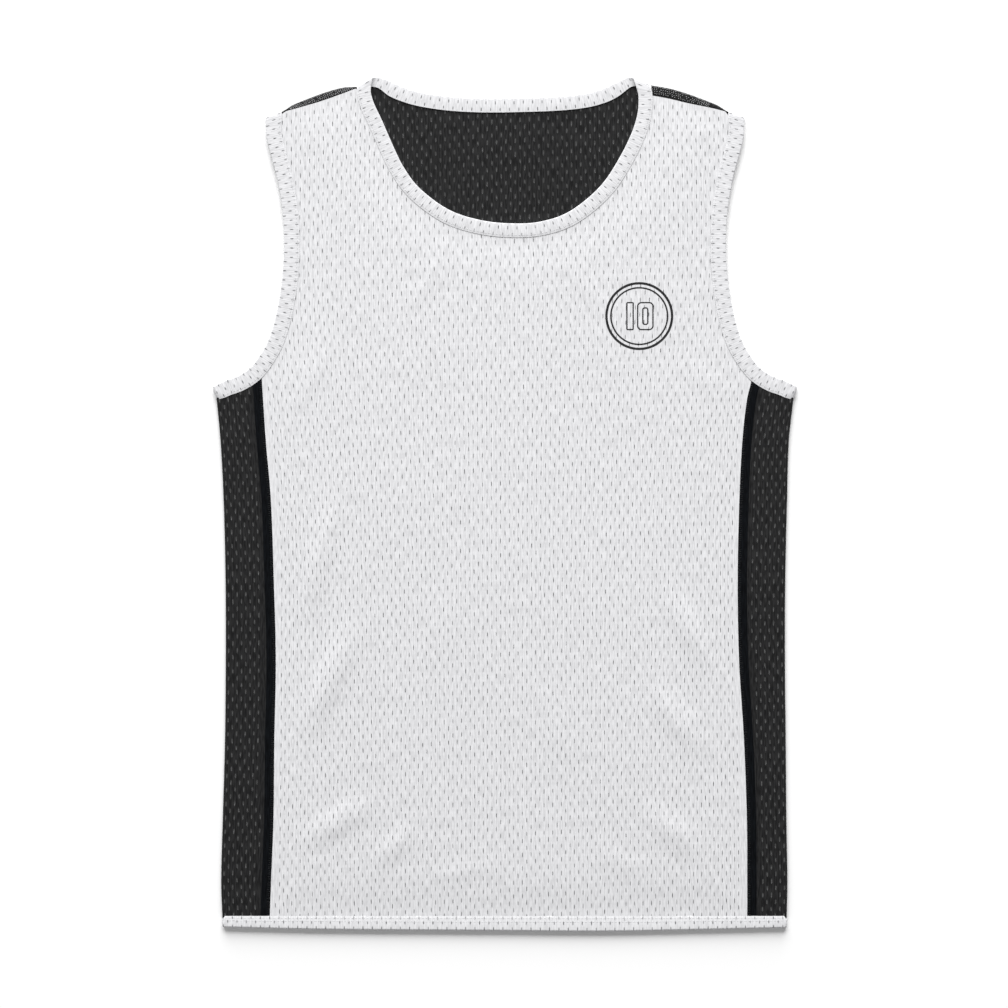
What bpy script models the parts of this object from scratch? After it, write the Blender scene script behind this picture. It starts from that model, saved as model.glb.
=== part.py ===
"""A sleeveless reversible basketball jersey, laid flat with its front up.

Four plies of mesh cloth lie on each other: the white back, its black lining, the black front lining and
the white front. Black side panels are folded round the two sides, narrow black strips lie over the
shoulders, and a folded white band binds the neck, the armholes and the hem.

The tables below are in millimetres, with +Y to the neck and +Z up. Left and right are as seen from above
with the neck at the top, so the left is at -X.
"""

import functools
import math
from collections import namedtuple

import bmesh
import bpy
from mathutils import Vector
from mathutils.geometry import delaunay_2d_cdt, intersect_point_line

MM = 0.001

# What the triangulation keeps, and how near two of its points may be
INSIDE_ONLY = 1
WELD = 1e-4

# Cloth
PLY = 1.0
GAP = 0.3
STACK = 4 * PLY + 3 * GAP
MIDDLE = STACK / 2
BACK_LEVEL = 0.0
BACK_LINING_LEVEL = PLY + GAP
FRONT_LINING_LEVEL = 2 * (PLY + GAP)
FRONT_LEVEL = 3 * (PLY + GAP)

# Radii of the two plies where they turn round a fold, outside and inside
OUTER_PLY = (MIDDLE, MIDDLE - PLY)
INNER_PLY = (MIDDLE - PLY - GAP, GAP / 2)
BAND = (MIDDLE, GAP / 2)

# Bindings
NECK_BINDING = 12.5
ARMHOLE_BINDING = 14.0
EDGE_ROUND = 0.7
SHOULDER_LINING = 0.4

# Steps that the curves and round shapes are made in
ROW_STEPS = 2
FOLD_STEPS = 5
STRIP_STEPS = 8
SIDE_COLUMNS = 4
SIDE_ROWS = 10
HEM_STEPS = 14
HALVINGS = 40
SAME_POINT = 1.5
SHARP_ANGLE = 35.0

# The front's fullness: how high it stands, and how far from a seam it starts
CROWN = 0.6
SEAM_EASE = 34.0
LINING_FULLNESS = 0.75
LATTICE = 46.0
LATTICE_CLEARANCE = 24.0
RIDGE_RUNS = (-0.5, -0.25, 0.0, 0.25, 0.5)
RIDGE_CLEARANCE = 8.0

Place = namedtuple("Place", "x y")
Side = namedtuple("Side", "y left_fold left_seam right_seam right_fold")
Shoulder = namedtuple("Shoulder", "along lift left_reach right_reach")
Hem = namedtuple("Hem", "x depth")
Fold = namedtuple("Fold", "x y heading length half_width height")
Turn = namedtuple("Turn", "seam edge")
Station = namedtuple("Station", "seam edge out turn")

# Finished edges of the neck, from the left shoulder to the right one
FRONT_NECK = (
    Place(-120.0, 368.0),
    Place(-116.6, 357.0),
    Place(-109.7, 342.5),
    Place(-99.0, 318.0),
    Place(-90.0, 300.0),
    Place(-75.8, 281.4),
    Place(-50.0, 262.5),
    Place(-22.0, 253.3),
    Place(6.0, 250.3),
    Place(32.0, 252.0),
    Place(58.0, 261.3),
    Place(84.7, 283.3),
    Place(102.0, 309.0),
    Place(113.3, 332.3),
    Place(118.3, 350.0),
    Place(118.8, 366.0),
)
BACK_NECK = (
    Place(-113.3, 381.3),
    Place(-104.5, 378.4),
    Place(-93.0, 373.0),
    Place(-76.0, 367.6),
    Place(-50.0, 363.6),
    Place(-18.0, 361.9),
    Place(18.0, 362.4),
    Place(48.0, 363.6),
    Place(70.0, 366.0),
    Place(86.0, 370.2),
    Place(101.0, 377.2),
    Place(109.7, 381.3),
)

# Where the neck binding turns over each shoulder: the outermost points of its fold
NECK_TURNS = {
    -1: Turn(Place(-133.0, 374.0), Place(-119.5, 382.2)),
    1: Turn(Place(131.0, 374.0), Place(115.5, 381.3)),
}

# One armhole's finished edge, shoulder to underarm, with x measured outwards from the centre
ARMHOLE = (
    Place(213.1, 344.0),
    Place(212.9, 329.0),
    Place(208.4, 310.0),
    Place(203.2, 290.5),
    Place(199.2, 268.0),
    Place(197.0, 244.0),
    Place(197.2, 217.0),
    Place(200.0, 189.0),
    Place(204.8, 165.0),
    Place(210.6, 147.0),
    Place(217.6, 134.4),
    Place(226.6, 122.4),
    Place(239.0, 114.2),
    Place(250.0, 110.4),
    Place(258.7, 105.7),
)
NARROWEST_ROW = 6
SHOULDER_TURN = Turn(Place(199.5, 351.8), Place(214.0, 346.3))
UNDERARM_TURN = Turn(Place(257.3, 93.0), Place(261.0, 105.0))
UNDERARM_SEAM = {-1: 216.8, 1: 219.6}

# The two sides, underarm to hem
SIDES = (
    Side(93.0, -257.3, -215.6, 215.6, 257.3),
    Side(57.0, -254.0, -213.2, 211.6, 253.4),
    Side(4.0, -251.2, -208.7, 208.9, 251.8),
    Side(-67.0, -249.5, -206.1, 207.4, 250.2),
    Side(-138.0, -249.3, -204.3, 208.6, 249.9),
    Side(-210.0, -250.0, -205.6, 213.0, 250.6),
    Side(-281.0, -252.0, -206.4, 215.6, 251.2),
    Side(-335.0, -253.4, -208.5, 215.9, 252.1),
    Side(-366.3, -252.4, -209.6, 215.9, 251.5),
)
HEM_SEAM = -366.3
HEM = (
    Hem(-252.0, 9.9),
    Hem(-165.0, 11.9),
    Hem(0.0, 13.1),
    Hem(85.0, 13.7),
    Hem(174.0, 12.1),
    Hem(251.0, 10.4),
)

# The shoulder strips, armhole to neck: how far the fold bows out, and how far in front of it each reaches
SHOULDERS = (
    Shoulder(0.0, 0.0, 1.0, 1.0),
    Shoulder(0.2, 1.5, 2.6, 1.9),
    Shoulder(0.5, 2.6, 4.5, 4.5),
    Shoulder(0.75, 2.3, 4.0, 5.2),
    Shoulder(1.0, 0.0, 1.0, 6.0),
)
STRIP_BACK = 9.0

# The largest soft ridges of the front, each about its middle, with its heading in degrees from +X
FOLDS = (
    Fold(-163.7, -45.0, 77.6, 150.0, 17.0, 1.1),
    Fold(-156.0, -156.6, 66.8, 150.0, 20.0, 1.5),
    Fold(-149.4, -282.8, 32.0, 100.0, 18.0, 1.6),
    Fold(-100.0, -306.0, 45.0, 66.0, 16.0, 0.8),
    Fold(163.2, -112.0, -66.0, 104.0, 17.0, 1.1),
    Fold(158.8, -191.3, -51.5, 104.0, 19.0, 1.5),
    Fold(149.4, -292.0, -41.6, 84.0, 18.0, 1.0),
)

WHITE = (0.80, 0.80, 0.82)
BLACK = (0.030, 0.030, 0.032)
CLOTH_ROUGHNESS = 0.85


# Curves


def slope(points, i):
    """The direction of a smooth line at one of its points."""
    return (points[min(i + 1, len(points) - 1)] - points[max(i - 1, 0)]) / 2


def on_curve(points, u):
    """The place and direction at u on a smooth line, where point i is at u = i."""
    i = min(int(u), len(points) - 2)
    t = u - i
    a, b = points[i], points[i + 1]
    start, end = slope(points, i), slope(points, i + 1)
    place = a * (2 * t**3 - 3 * t**2 + 1) + start * (t**3 - 2 * t**2 + t)
    place += b * (3 * t**2 - 2 * t**3) + end * (t**3 - t**2)
    heading = (a - b) * (6 * t**2 - 6 * t) + start * (3 * t**2 - 4 * t + 1) + end * (3 * t**2 - 2 * t)
    return place, heading.normalized()


def height_curve(rows, x):
    """The value at x of a smooth line through (x, value) rows, whose x runs upwards."""
    i = max(k for k in range(len(rows) - 1) if rows[k][0] <= x or k == 0)
    (x0, a), (x1, b) = rows[i], rows[i + 1]

    def grade(k):
        (before, low), (after, high) = rows[max(k - 1, 0)], rows[min(k + 1, len(rows) - 1)]
        return (high - low) / (after - before) * (x1 - x0)

    t = (x - x0) / (x1 - x0)
    value = a * (2 * t**3 - 3 * t**2 + 1) + grade(i) * (t**3 - 2 * t**2 + t)
    return value + b * (3 * t**2 - 2 * t**3) + grade(i + 1) * (t**3 - t**2)


def steps(low, high, count):
    """Evenly spaced values from low to high, both included."""
    return [low + (high - low) * i / count for i in range(count + 1)]


def walk(points, distance):
    """The point this far along a line of points."""
    for a, b in zip(points, points[1:]):
        length = (b - a).length
        if distance <= length:
            return a.lerp(b, distance / length)
        distance -= length
    return points[-1].copy()


def inset(outline, distance):
    """The same outline, which runs anticlockwise, moved inwards by a distance."""
    moved = []
    for i, point in enumerate(outline):
        before = (point - outline[i - 1]).normalized()
        after = (outline[(i + 1) % len(outline)] - point).normalized()
        inward = Vector((-before.y - after.y, before.x + after.x)).normalized()
        square = Vector((-before.y, before.x)).dot(inward)
        moved.append(point + inward * distance / square)
    return moved


def fold_frame(turn, side=1):
    """A fold's centre line and its outward direction: (seam end, finished end, out)."""
    seam = Vector((turn.seam.x * side, turn.seam.y))
    edge = Vector((turn.edge.x * side, turn.edge.y))
    along = (edge - seam).normalized()
    out = Vector((-along.y, along.x))
    if out.x * seam.x < 0:
        out.negate()
    return seam - out * MIDDLE, edge - out * MIDDLE, out


# Solids


def skin(loops, ring):
    """One closed body through loops of points. A ring joins up, and any other has its two ends capped."""
    mesh = bmesh.new()
    rows = [[mesh.verts.new(point * MM) for point in loop] for loop in loops]
    size = len(loops[0])
    pairs = list(zip(rows, rows[1:]))
    if ring:
        pairs.append((rows[-1], rows[0]))
    for one, two in pairs:
        for i in range(size):
            j = (i + 1) % size
            mesh.faces.new((one[i], one[j], two[j], two[i]))
    if not ring:
        for row in (rows[0], rows[-1]):
            for i in range(size // 2 - 1):
                mesh.faces.new((row[i], row[i + 1], row[size - 2 - i], row[size - 1 - i]))
    bmesh.ops.recalc_face_normals(mesh, faces=mesh.faces)
    return mesh


def plate(outline, level, swell=None, dots=()):
    """A panel one ply thick inside an outline, its underside at a level, raised where it swells."""
    rim = inset(outline, GAP)
    found = delaunay_2d_cdt(rim + list(dots), [], [list(range(len(rim)))], INSIDE_ONLY, WELD)
    points, triangles = found[0], found[2]
    mesh = bmesh.new()
    floor, roof = [], []
    for point in points:
        base = level + (swell(point) if swell else 0.0)
        floor.append(mesh.verts.new((point.x * MM, point.y * MM, base * MM)))
        roof.append(mesh.verts.new((point.x * MM, point.y * MM, (base + PLY) * MM)))
    edges = {(a, b) for face in triangles for a, b in zip(face, face[1:] + face[:1])}
    for face in triangles:
        mesh.faces.new([roof[i] for i in face])
        mesh.faces.new([floor[i] for i in reversed(face)])
    for a, b in edges:
        if (b, a) not in edges:
            mesh.faces.new((floor[a], floor[b], roof[b], roof[a]))
    bmesh.ops.recalc_face_normals(mesh, faces=mesh.faces)
    return mesh


def turned(point, out, turn, radius):
    """A point on cloth that goes round a fold: turn is 0 on the front and half a circle on the back."""
    place = point + out * (radius * math.sin(turn))
    return Vector((place.x, place.y, MIDDLE + radius * math.cos(turn)))


def folded_ply(rows, radii):
    """A ply folded round an edge. Each row gives its points from front seam to back seam."""
    outer, inner = radii
    loops = []
    for row in rows:
        over = [turned(*node, outer) for node in row]
        under = [turned(*node, inner) for node in reversed(row)]
        loops.append(over + under)
    return skin(loops, ring=False)


def band(stations):
    """A folded binding that runs all round an opening, with its finished edge rounded."""
    outer, inner = BAND
    loops = []
    for seam, edge, out, turn in stations:
        shoulder = edge + (seam - edge).normalized() * EDGE_ROUND
        profile = (
            (seam, outer),
            (shoulder, outer),
            (edge, outer - EDGE_ROUND),
            (edge, inner + EDGE_ROUND),
            (shoulder, inner),
            (seam, inner),
        )
        loops.append([turned(point, out, turn, radius) for point, radius in profile])
    return skin(loops, ring=True)


def ring_stations(front, back, first_fold, last_fold):
    """A binding's stations: along the front, round one fold, back underneath and round the other."""
    flat = Vector((0.0, 0.0))
    turns = steps(0.0, math.pi, FOLD_STEPS)
    stations = [Station(seam, edge, flat, 0.0) for seam, edge in front]
    stations += [Station(*first_fold, turn) for turn in turns]
    stations += [Station(seam, edge, flat, math.pi) for seam, edge in back]
    stations += [Station(*last_fold, turn) for turn in reversed(turns)]
    return stations


# The plan of each opening: pairs of (seam, finished edge)


def neck_edge(rows, width):
    points = [Vector(row) for row in rows]
    pairs = []
    for u in steps(0.0, len(points) - 1.0, ROW_STEPS * (len(points) - 1)):
        edge, heading = on_curve(points, u)
        pairs.append((edge + Vector((heading.y, -heading.x)) * width, edge))
    return pairs


@functools.cache
def armhole_edge(side):
    """(pairs over the front, pairs over the side panel), without the shoulder's fold."""
    points = [Vector((row.x * side, row.y)) for row in ARMHOLE]
    seam_end, edge_end, _ = fold_frame(UNDERARM_TURN, side)

    def pair(u):
        edge, heading = on_curve(points, u)
        return edge + Vector((heading.y, -heading.x)) * ARMHOLE_BINDING * side, edge

    low, high = 1.0, len(points) - 1.0
    for _ in range(HALVINGS):
        middle = (low + high) / 2
        if middle < NARROWEST_ROW or pair(middle)[0].x * side < UNDERARM_SEAM[side]:
            low = middle
        else:
            high = middle
    over_front = [pair(u) for u in steps(1.0, low, round((low - 1.0) * ROW_STEPS))]
    over_side = [pair(u) for u in steps(low, len(points) - 1.0, SIDE_COLUMNS)[1:-1]]
    return over_front, over_side + [(seam_end, edge_end)]


def hem_depth(x):
    return height_curve([(row.x, row.depth) for row in HEM], x)


def side_line(side, column):
    """A side's fold or seam as (y, x) rows, from the hem up to the underarm."""
    return [(row.y, getattr(row, f"{'left' if side < 0 else 'right'}_{column}")) for row in reversed(SIDES)]


def seam_x(side, y):
    """The seam between the front and a side panel."""
    top = armhole_edge(side)[0][-1][0]
    return height_curve(side_line(side, "seam") + [(top.y, top.x)], y)


def fold_x(side, y):
    """The centre line of the fold at one side."""
    top = fold_frame(UNDERARM_TURN, side)[0]
    rows = [(row_y, x - MIDDLE * side) for row_y, x in side_line(side, "fold")[:-1]]
    return height_curve(rows + [(top.y, top.x)], y)


def side_rows(side):
    """The side panel's points, row by row from underarm to hem, and column by column from seam to fold."""
    over_front, over_side = armhole_edge(side)
    tops = []
    for seam, edge in [over_front[-1]] + over_side:
        tops.append(seam + (seam - edge).normalized() * GAP)
    shares = []
    for top in tops:
        inner, outer = seam_x(side, top.y), fold_x(side, top.y)
        shares.append((top.x - inner) / (outer - inner))
    shares[0], shares[-1] = 0.0, 1.0
    rows = []
    for part in steps(0.0, 1.0, SIDE_ROWS):
        row = []
        for top, share in zip(tops, shares):
            y = top.y + (HEM_SEAM + GAP - top.y) * part
            x = seam_x(side, y) + (fold_x(side, y) - seam_x(side, y)) * share
            row.append(Vector((x, y)))
        rows.append(row)
    return rows


def side_seam(side):
    """The seam between front and side panel, from the armhole down to the hem."""
    over_front, _ = armhole_edge(side)
    line = [row[0] for row in side_rows(side)]
    return [over_front[-1][0]] + line[1:-1] + [Vector((seam_x(side, HEM_SEAM), HEM_SEAM))]


def shoulder_lines(side):
    """(front edge, fold centre, back edge, out) of a shoulder strip, from armhole to neck."""
    arm_seam, _, arm_out = fold_frame(SHOULDER_TURN, side)
    neck_seam, neck_finish, neck_out = fold_frame(NECK_TURNS[side])
    arm_line = [arm_seam] + [seam for seam, _ in armhole_edge(side)[0]]
    front_line = [seam for seam, _ in neck_edge(FRONT_NECK, NECK_BINDING)]
    back_line = [seam for seam, _ in neck_edge(BACK_NECK, NECK_BINDING)]
    if side > 0:
        front_line.reverse()
        back_line.reverse()
    column = "left_reach" if side < 0 else "right_reach"
    lifts = [(row.along, row.lift) for row in SHOULDERS]
    reaches = [(row.along, getattr(row, column)) for row in SHOULDERS]
    chord = (neck_seam - arm_seam).normalized()
    square = Vector((-chord.y, chord.x)) * -side
    rows = []
    for part in steps(0.0, 1.0, STRIP_STEPS):
        out = arm_out.lerp(square, min(2 * part, 1.0)).lerp(neck_out, max(2 * part - 1.0, 0.0)).normalized()
        centre = arm_seam.lerp(neck_seam, part) + square * height_curve(lifts, part)
        rows.append([centre - out * height_curve(reaches, part), centre, None, out])
    rows[0][0] = walk(arm_line, reaches[0][1])
    rows[-1][0] = walk([neck_seam] + front_line, reaches[-1][1])
    back_start = walk(arm_line, STRIP_BACK)
    for part, row in zip(steps(0.0, 1.0, STRIP_STEPS), rows):
        row[2] = back_start.lerp(back_line[0], part)
    return rows


def shoulder_rows(side):
    """The shoulder strip's points, kept clear of the bindings at both ends."""
    lines = shoulder_lines(side)
    rows = []
    for i, (front, centre, back, out) in enumerate(lines):
        shift = Vector((0.0, 0.0))
        if i in (0, len(lines) - 1):
            neighbour = lines[1 if i == 0 else -2]
            shift = Vector((out.y, -out.x))
            if shift.dot(neighbour[1] - centre) < 0:
                shift.negate()
            shift *= GAP
        rows.append([point + shift for point in (front, centre, back)] + [out])
    last = rows[-1]
    run = (last[2] - last[1]).normalized()
    away = Vector((-run.y, run.x))
    if away.dot(lines[-2][2] - lines[-1][2]) < 0:
        away.negate()
    last[2] = lines[-1][2] + away * GAP
    return rows


# Outlines, anticlockwise from the hem's right corner


def outline(shoulder, neck):
    """A panel's outline: hem, side, armhole, shoulder, neck, and down the other side."""
    left, right = ([seam for seam, _ in armhole_edge(side)[0][:-1]] for side in (-1, 1))
    up_right = side_seam(1)[::-1] + right[::-1] + shoulder(1)
    down_left = shoulder(-1)[::-1] + left + side_seam(-1)
    return up_right + neck[::-1] + down_left


def shoulder_edge(kind):
    """The shoulder's line for a kind of panel: the front, the back, or a lining under the strip."""

    def edge(side):
        lines = shoulder_lines(side)
        if kind == "front":
            return [row[0] for row in lines]
        if kind == "back":
            return [row[2] for row in lines]
        return [row[1] - row[3] * SHOULDER_LINING for row in lines]

    return edge


def neck_line(rows, shoulder):
    """The neck's seam between the two shoulders' last points."""
    line = [seam for seam, _ in neck_edge(rows, NECK_BINDING)]
    left, right = shoulder(-1)[-1], shoulder(1)[-1]
    return [point for point in line if min((point - left).length, (point - right).length) > SAME_POINT]


def clearance(point, rim):
    """How far a point is from the nearest edge of an outline."""
    nearest = math.inf
    for a, b in zip(rim, rim[1:] + rim[:1]):
        foot, share = intersect_point_line(point, a, b)
        foot = a.lerp(b, min(max(share, 0.0), 1.0))
        nearest = min(nearest, (point - foot.xy).length)
    return nearest


def bump(t):
    """One smooth swell: 1 at 0, and level with the cloth at -1 and 1."""
    return math.cos(min(abs(t), 1.0) * math.pi / 2) ** 2


def fold_axes(fold):
    """(middle, along, across) of a ridge."""
    heading = math.radians(fold.heading)
    along = Vector((math.cos(heading), math.sin(heading)))
    return Vector((fold.x, fold.y)), along, Vector((-along.y, along.x))


def fullness(rim):
    """How far the front stands up at a point, from its crown and its ridges, eased down to its seams."""

    def height(point):
        total = CROWN
        for fold in FOLDS:
            middle, along, across = fold_axes(fold)
            run = (point - middle).dot(along) / (fold.length / 2)
            total += fold.height * bump(run) * bump((point - middle).dot(across) / fold.half_width)
        ease = min(clearance(point, rim) / SEAM_EASE, 1.0)
        return total * ease * ease * (3 - 2 * ease)

    return height


def inside(point, rim):
    """Whether a point is inside an outline."""
    odd = False
    for a, b in zip(rim, rim[1:] + rim[:1]):
        if (a.y > point.y) != (b.y > point.y):
            if point.x < a.x + (point.y - a.y) * (b.x - a.x) / (b.y - a.y):
                odd = not odd
    return odd


def front_dots(rim):
    """Points for the front's ridges, crest and flanks, and a coarse lattice between them."""
    dots = []
    for fold in FOLDS:
        middle, along, across = fold_axes(fold)
        for run in RIDGE_RUNS:
            widths = (0.0,) if abs(run) == 0.5 else (-1.0, 0.0, 1.0)
            dots += [middle + along * run * fold.length + across * w * fold.half_width for w in widths]
    kept = []
    for dot in dots:
        clear = all((dot - other).length > RIDGE_CLEARANCE for other in kept)
        if clear and inside(dot, rim) and clearance(dot, rim) > RIDGE_CLEARANCE:
            kept.append(dot)
    across_count = int(2 * ARMHOLE[-1].x / LATTICE) + 1
    up_count = int((NECK_TURNS[-1].edge.y - HEM_SEAM) / LATTICE) + 1
    for i in range(up_count):
        for j in range(across_count):
            x = (j - (across_count - 1) / 2 + (i % 2) / 2) * LATTICE
            dot = Vector((x, HEM_SEAM + (i + 0.5) * LATTICE))
            clear = all((dot - other).length > LATTICE_CLEARANCE for other in kept)
            if inside(dot, rim) and clearance(dot, rim) > LATTICE_CLEARANCE and clear:
                kept.append(dot)
    return kept


# Pieces


def cloth(name, color):
    """A plain cloth material."""
    material = bpy.data.materials.new(name)
    material.use_nodes = True
    shader = material.node_tree.nodes["Principled BSDF"]
    shader.inputs["Base Color"].default_value = (*color, 1.0)
    shader.inputs["Roughness"].default_value = CLOTH_ROUGHNESS
    shader.inputs["Metallic"].default_value = 0.0
    material.diffuse_color = (*color, 1.0)
    return material


def add_piece(name, mesh, color, stand):
    """A named object from a mesh, with a material of its own, smooth but for its creases."""
    data = bpy.data.meshes.new(name)
    mesh.to_mesh(data)
    mesh.free()
    data.materials.append(cloth(name, color))
    data.shade_smooth()
    data.set_sharp_from_angle(angle=math.radians(SHARP_ANGLE))
    piece = bpy.data.objects.new(name, data)
    piece.parent = stand
    bpy.context.collection.objects.link(piece)
    return piece


def add_panels(stand):
    front_rim = outline(shoulder_edge("front"), neck_line(FRONT_NECK, shoulder_edge("front")))
    lining_rim = outline(shoulder_edge("lining"), neck_line(FRONT_NECK, shoulder_edge("lining")))
    back_rim = outline(shoulder_edge("back"), neck_line(BACK_NECK, shoulder_edge("back")))
    back_lining_rim = outline(shoulder_edge("lining"), neck_line(BACK_NECK, shoulder_edge("lining")))
    dots = front_dots(front_rim)
    height = fullness(front_rim)

    def lining_height(point):
        return height(point) * LINING_FULLNESS

    return [
        add_piece("front", plate(front_rim, FRONT_LEVEL, height, dots), WHITE, stand),
        add_piece("front_lining", plate(lining_rim, FRONT_LINING_LEVEL, lining_height, dots), BLACK, stand),
        add_piece("back_lining", plate(back_lining_rim, BACK_LINING_LEVEL), BLACK, stand),
        add_piece("back", plate(back_rim, BACK_LEVEL), WHITE, stand),
    ]


def add_side(side, name, stand):
    """The side panel and its lining, each folded round the side from front seam to back seam."""
    flat = Vector((0.0, 0.0))
    level_out = Vector((float(side), 0.0))
    rows = []
    for i, columns in enumerate(side_rows(side)):
        out = fold_frame(UNDERARM_TURN, side)[2] if i == 0 else level_out
        row = [(point, flat, 0.0) for point in columns[:-1]]
        row += [(columns[-1], out, turn) for turn in steps(0.0, math.pi, FOLD_STEPS)]
        row += [(point, flat, math.pi) for point in reversed(columns[:-1])]
        rows.append(row)
    return [
        add_piece(f"side_panel_{name}", folded_ply(rows, OUTER_PLY), BLACK, stand),
        add_piece(f"side_lining_{name}", folded_ply(rows, INNER_PLY), WHITE, stand),
    ]


def add_shoulder_strip(side, name, stand):
    flat = Vector((0.0, 0.0))
    rows = []
    for front, centre, back, out in shoulder_rows(side):
        row = [(front, flat, 0.0)]
        row += [(centre, out, turn) for turn in steps(0.0, math.pi, FOLD_STEPS)]
        row += [(back, flat, math.pi)]
        rows.append(row)
    return add_piece(f"shoulder_strip_{name}", folded_ply(rows, OUTER_PLY), BLACK, stand)


def add_neck_binding(stand):
    front = neck_edge(FRONT_NECK, NECK_BINDING)
    back = neck_edge(BACK_NECK, NECK_BINDING)[::-1]
    stations = ring_stations(front, back, fold_frame(NECK_TURNS[1]), fold_frame(NECK_TURNS[-1]))
    return add_piece("neck_binding", band(stations), WHITE, stand)


def add_armhole_binding(side, name, stand):
    over_front, over_side = armhole_edge(side)
    run = over_front + over_side[:-1]
    underarm, shoulder = fold_frame(UNDERARM_TURN, side), fold_frame(SHOULDER_TURN, side)
    stations = ring_stations(run, run[::-1], underarm, shoulder)
    return add_piece(f"armhole_binding_{name}", band(stations), WHITE, stand)


def add_hem_band(stand):
    ends = [fold_x(side, HEM_SEAM) for side in (-1, 1)]
    run = []
    for x in steps(*ends, HEM_STEPS):
        run.append((Vector((x, HEM_SEAM)), Vector((x, HEM_SEAM - hem_depth(x)))))
    left = (*run[0], Vector((-1.0, 0.0)))
    right = (*run[-1], Vector((1.0, 0.0)))
    stations = ring_stations(run[1:-1], run[-2:0:-1], right, left)
    return add_piece("hem_band", band(stations), WHITE, stand)


def centre(stand, pieces):
    """Moves the whole garment so that the origin is at the middle of its footprint, under it."""
    corners = [vertex.co for piece in pieces for vertex in piece.data.vertices]
    low = [min(corner[i] for corner in corners) for i in range(3)]
    high = [max(corner[i] for corner in corners) for i in range(3)]
    stand.location = (-(low[0] + high[0]) / 2, -(low[1] + high[1]) / 2, -low[2])


def main():
    for old in list(bpy.data.objects):
        bpy.data.objects.remove(old, do_unlink=True)
    stand = bpy.data.objects.new("jersey", None)
    bpy.context.collection.objects.link(stand)
    pieces = add_panels(stand)
    for side, name in ((-1, "left"), (1, "right")):
        pieces += add_side(side, name, stand)
        pieces.append(add_shoulder_strip(side, name, stand))
        pieces.append(add_armhole_binding(side, name, stand))
    pieces.append(add_neck_binding(stand))
    pieces.append(add_hem_band(stand))
    centre(stand, pieces)


main()
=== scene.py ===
"""The looks of a sleeveless reversible mesh basketball jersey, laid flat with its front up.

Each piece of cloth is a thin sheet built around the frame's solid of the same name. The panels, the sides and
the bindings are knitted with real slits, and the shoulder strips are ribbed with thread.
Sizes are in millimetres, in the cut's own frame, with +Y to the neck and +Z up out of the front. place()
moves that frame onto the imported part. Left and right are as seen from above with the neck at the top.
"""

import functools
import math
from collections import namedtuple

import bpy
import numpy as np
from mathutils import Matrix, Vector
from mathutils.geometry import delaunay_2d_cdt


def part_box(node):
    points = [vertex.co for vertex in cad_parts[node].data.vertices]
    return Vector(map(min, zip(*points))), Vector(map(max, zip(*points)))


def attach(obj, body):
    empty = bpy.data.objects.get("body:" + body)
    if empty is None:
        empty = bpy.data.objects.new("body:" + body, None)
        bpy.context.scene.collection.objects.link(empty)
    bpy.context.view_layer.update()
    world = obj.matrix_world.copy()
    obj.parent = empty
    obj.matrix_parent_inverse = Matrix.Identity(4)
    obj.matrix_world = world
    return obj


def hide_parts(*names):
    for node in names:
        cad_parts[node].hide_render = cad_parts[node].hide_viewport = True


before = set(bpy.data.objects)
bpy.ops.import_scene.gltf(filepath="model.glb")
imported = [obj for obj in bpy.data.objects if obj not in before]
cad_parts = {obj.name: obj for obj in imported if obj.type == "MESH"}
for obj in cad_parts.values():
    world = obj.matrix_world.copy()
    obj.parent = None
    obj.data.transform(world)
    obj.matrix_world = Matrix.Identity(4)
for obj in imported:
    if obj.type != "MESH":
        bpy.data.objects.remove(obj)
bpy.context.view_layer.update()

MM = 0.001
BODY = "root"
SIDE_NAMES = {-1: "left", 1: "right"}

# Levels of the plies, as thin sheets between the top and bottom of the frame's solids
THICKNESS = 4.9
MIDDLE = THICKNESS / 2
SEAM_GAP = 0.3
BACK_LEVEL = 0.45
BACK_LINING_LEVEL = 1.5
FRONT_LINING_LEVEL = 3.3
FRONT_LEVEL = 4.45
OUTER_RADIUS = FRONT_LEVEL - MIDDLE
INNER_RADIUS = 0.95
STRIP_RADIUS = 1.85

# Bindings
NECK_BINDING = 12.5
ARMHOLE_BINDING = 14.0
HEM_BAND = 12.5
NECK_END = 0.7
TAPER = 0.16
TUCK = 4.5
BAND_OUTSIDE = MIDDLE
BAND_INSIDE = 0.15
PUFF = 0.16
FOLD_BOW = 1.1
EDGE_RISE = 0.6
BINDING_SPLITS = (7.0, 2.6)
SEAM_DIP = 0.1
SEAM_DIP_START = 0.9
UNDER_LIFT = 0.24
CORNER_SMOOTHING = 13
NECK_REAR = 2.8
REAR_MIDDLE = 3.0
REAR_REACH = 12.0

# Fullness of the front, and the shallower fullness of what lies under it
CROWN = 0.6
SEAM_EASE = 34.0
LINING_FULLNESS = 0.75
BACK_FULLNESS = 0.45
BACK_LINING_FULLNESS = 0.35

# Knit
SLIT_SHOULDER = 0.42
SLIT_TILT = 0.022
SLIT_UNEVENNESS = 0.08
SLIT_DRIFT = 0.08
SLIT_CLEARANCE = 0.8
CELL_CLEARANCE = 0.3
SIDE_COLUMN = 7.7
SIDE_ROW = 6.2
SIDE_LEAN = 0.03
SIDE_SPLITS = (3.0, 1.5)
SPREAD_WIDTH = 174.0
RISE = 0.07
RISE_BEND = -0.00012
BINDING_COLUMN = 8.3
RIM_STEP = 5.0
SAME_PLACE = 0.3

# Beside the side seams: the margins with no slits, and the width of the turned-in allowance
FRONT_MARGIN = 4.6
SIDE_MARGIN = 11.5
ALLOWANCE = 8.2

# How far from its fold a side panel's edge under the armhole stops
FOLD_GAP = 1.5

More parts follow.
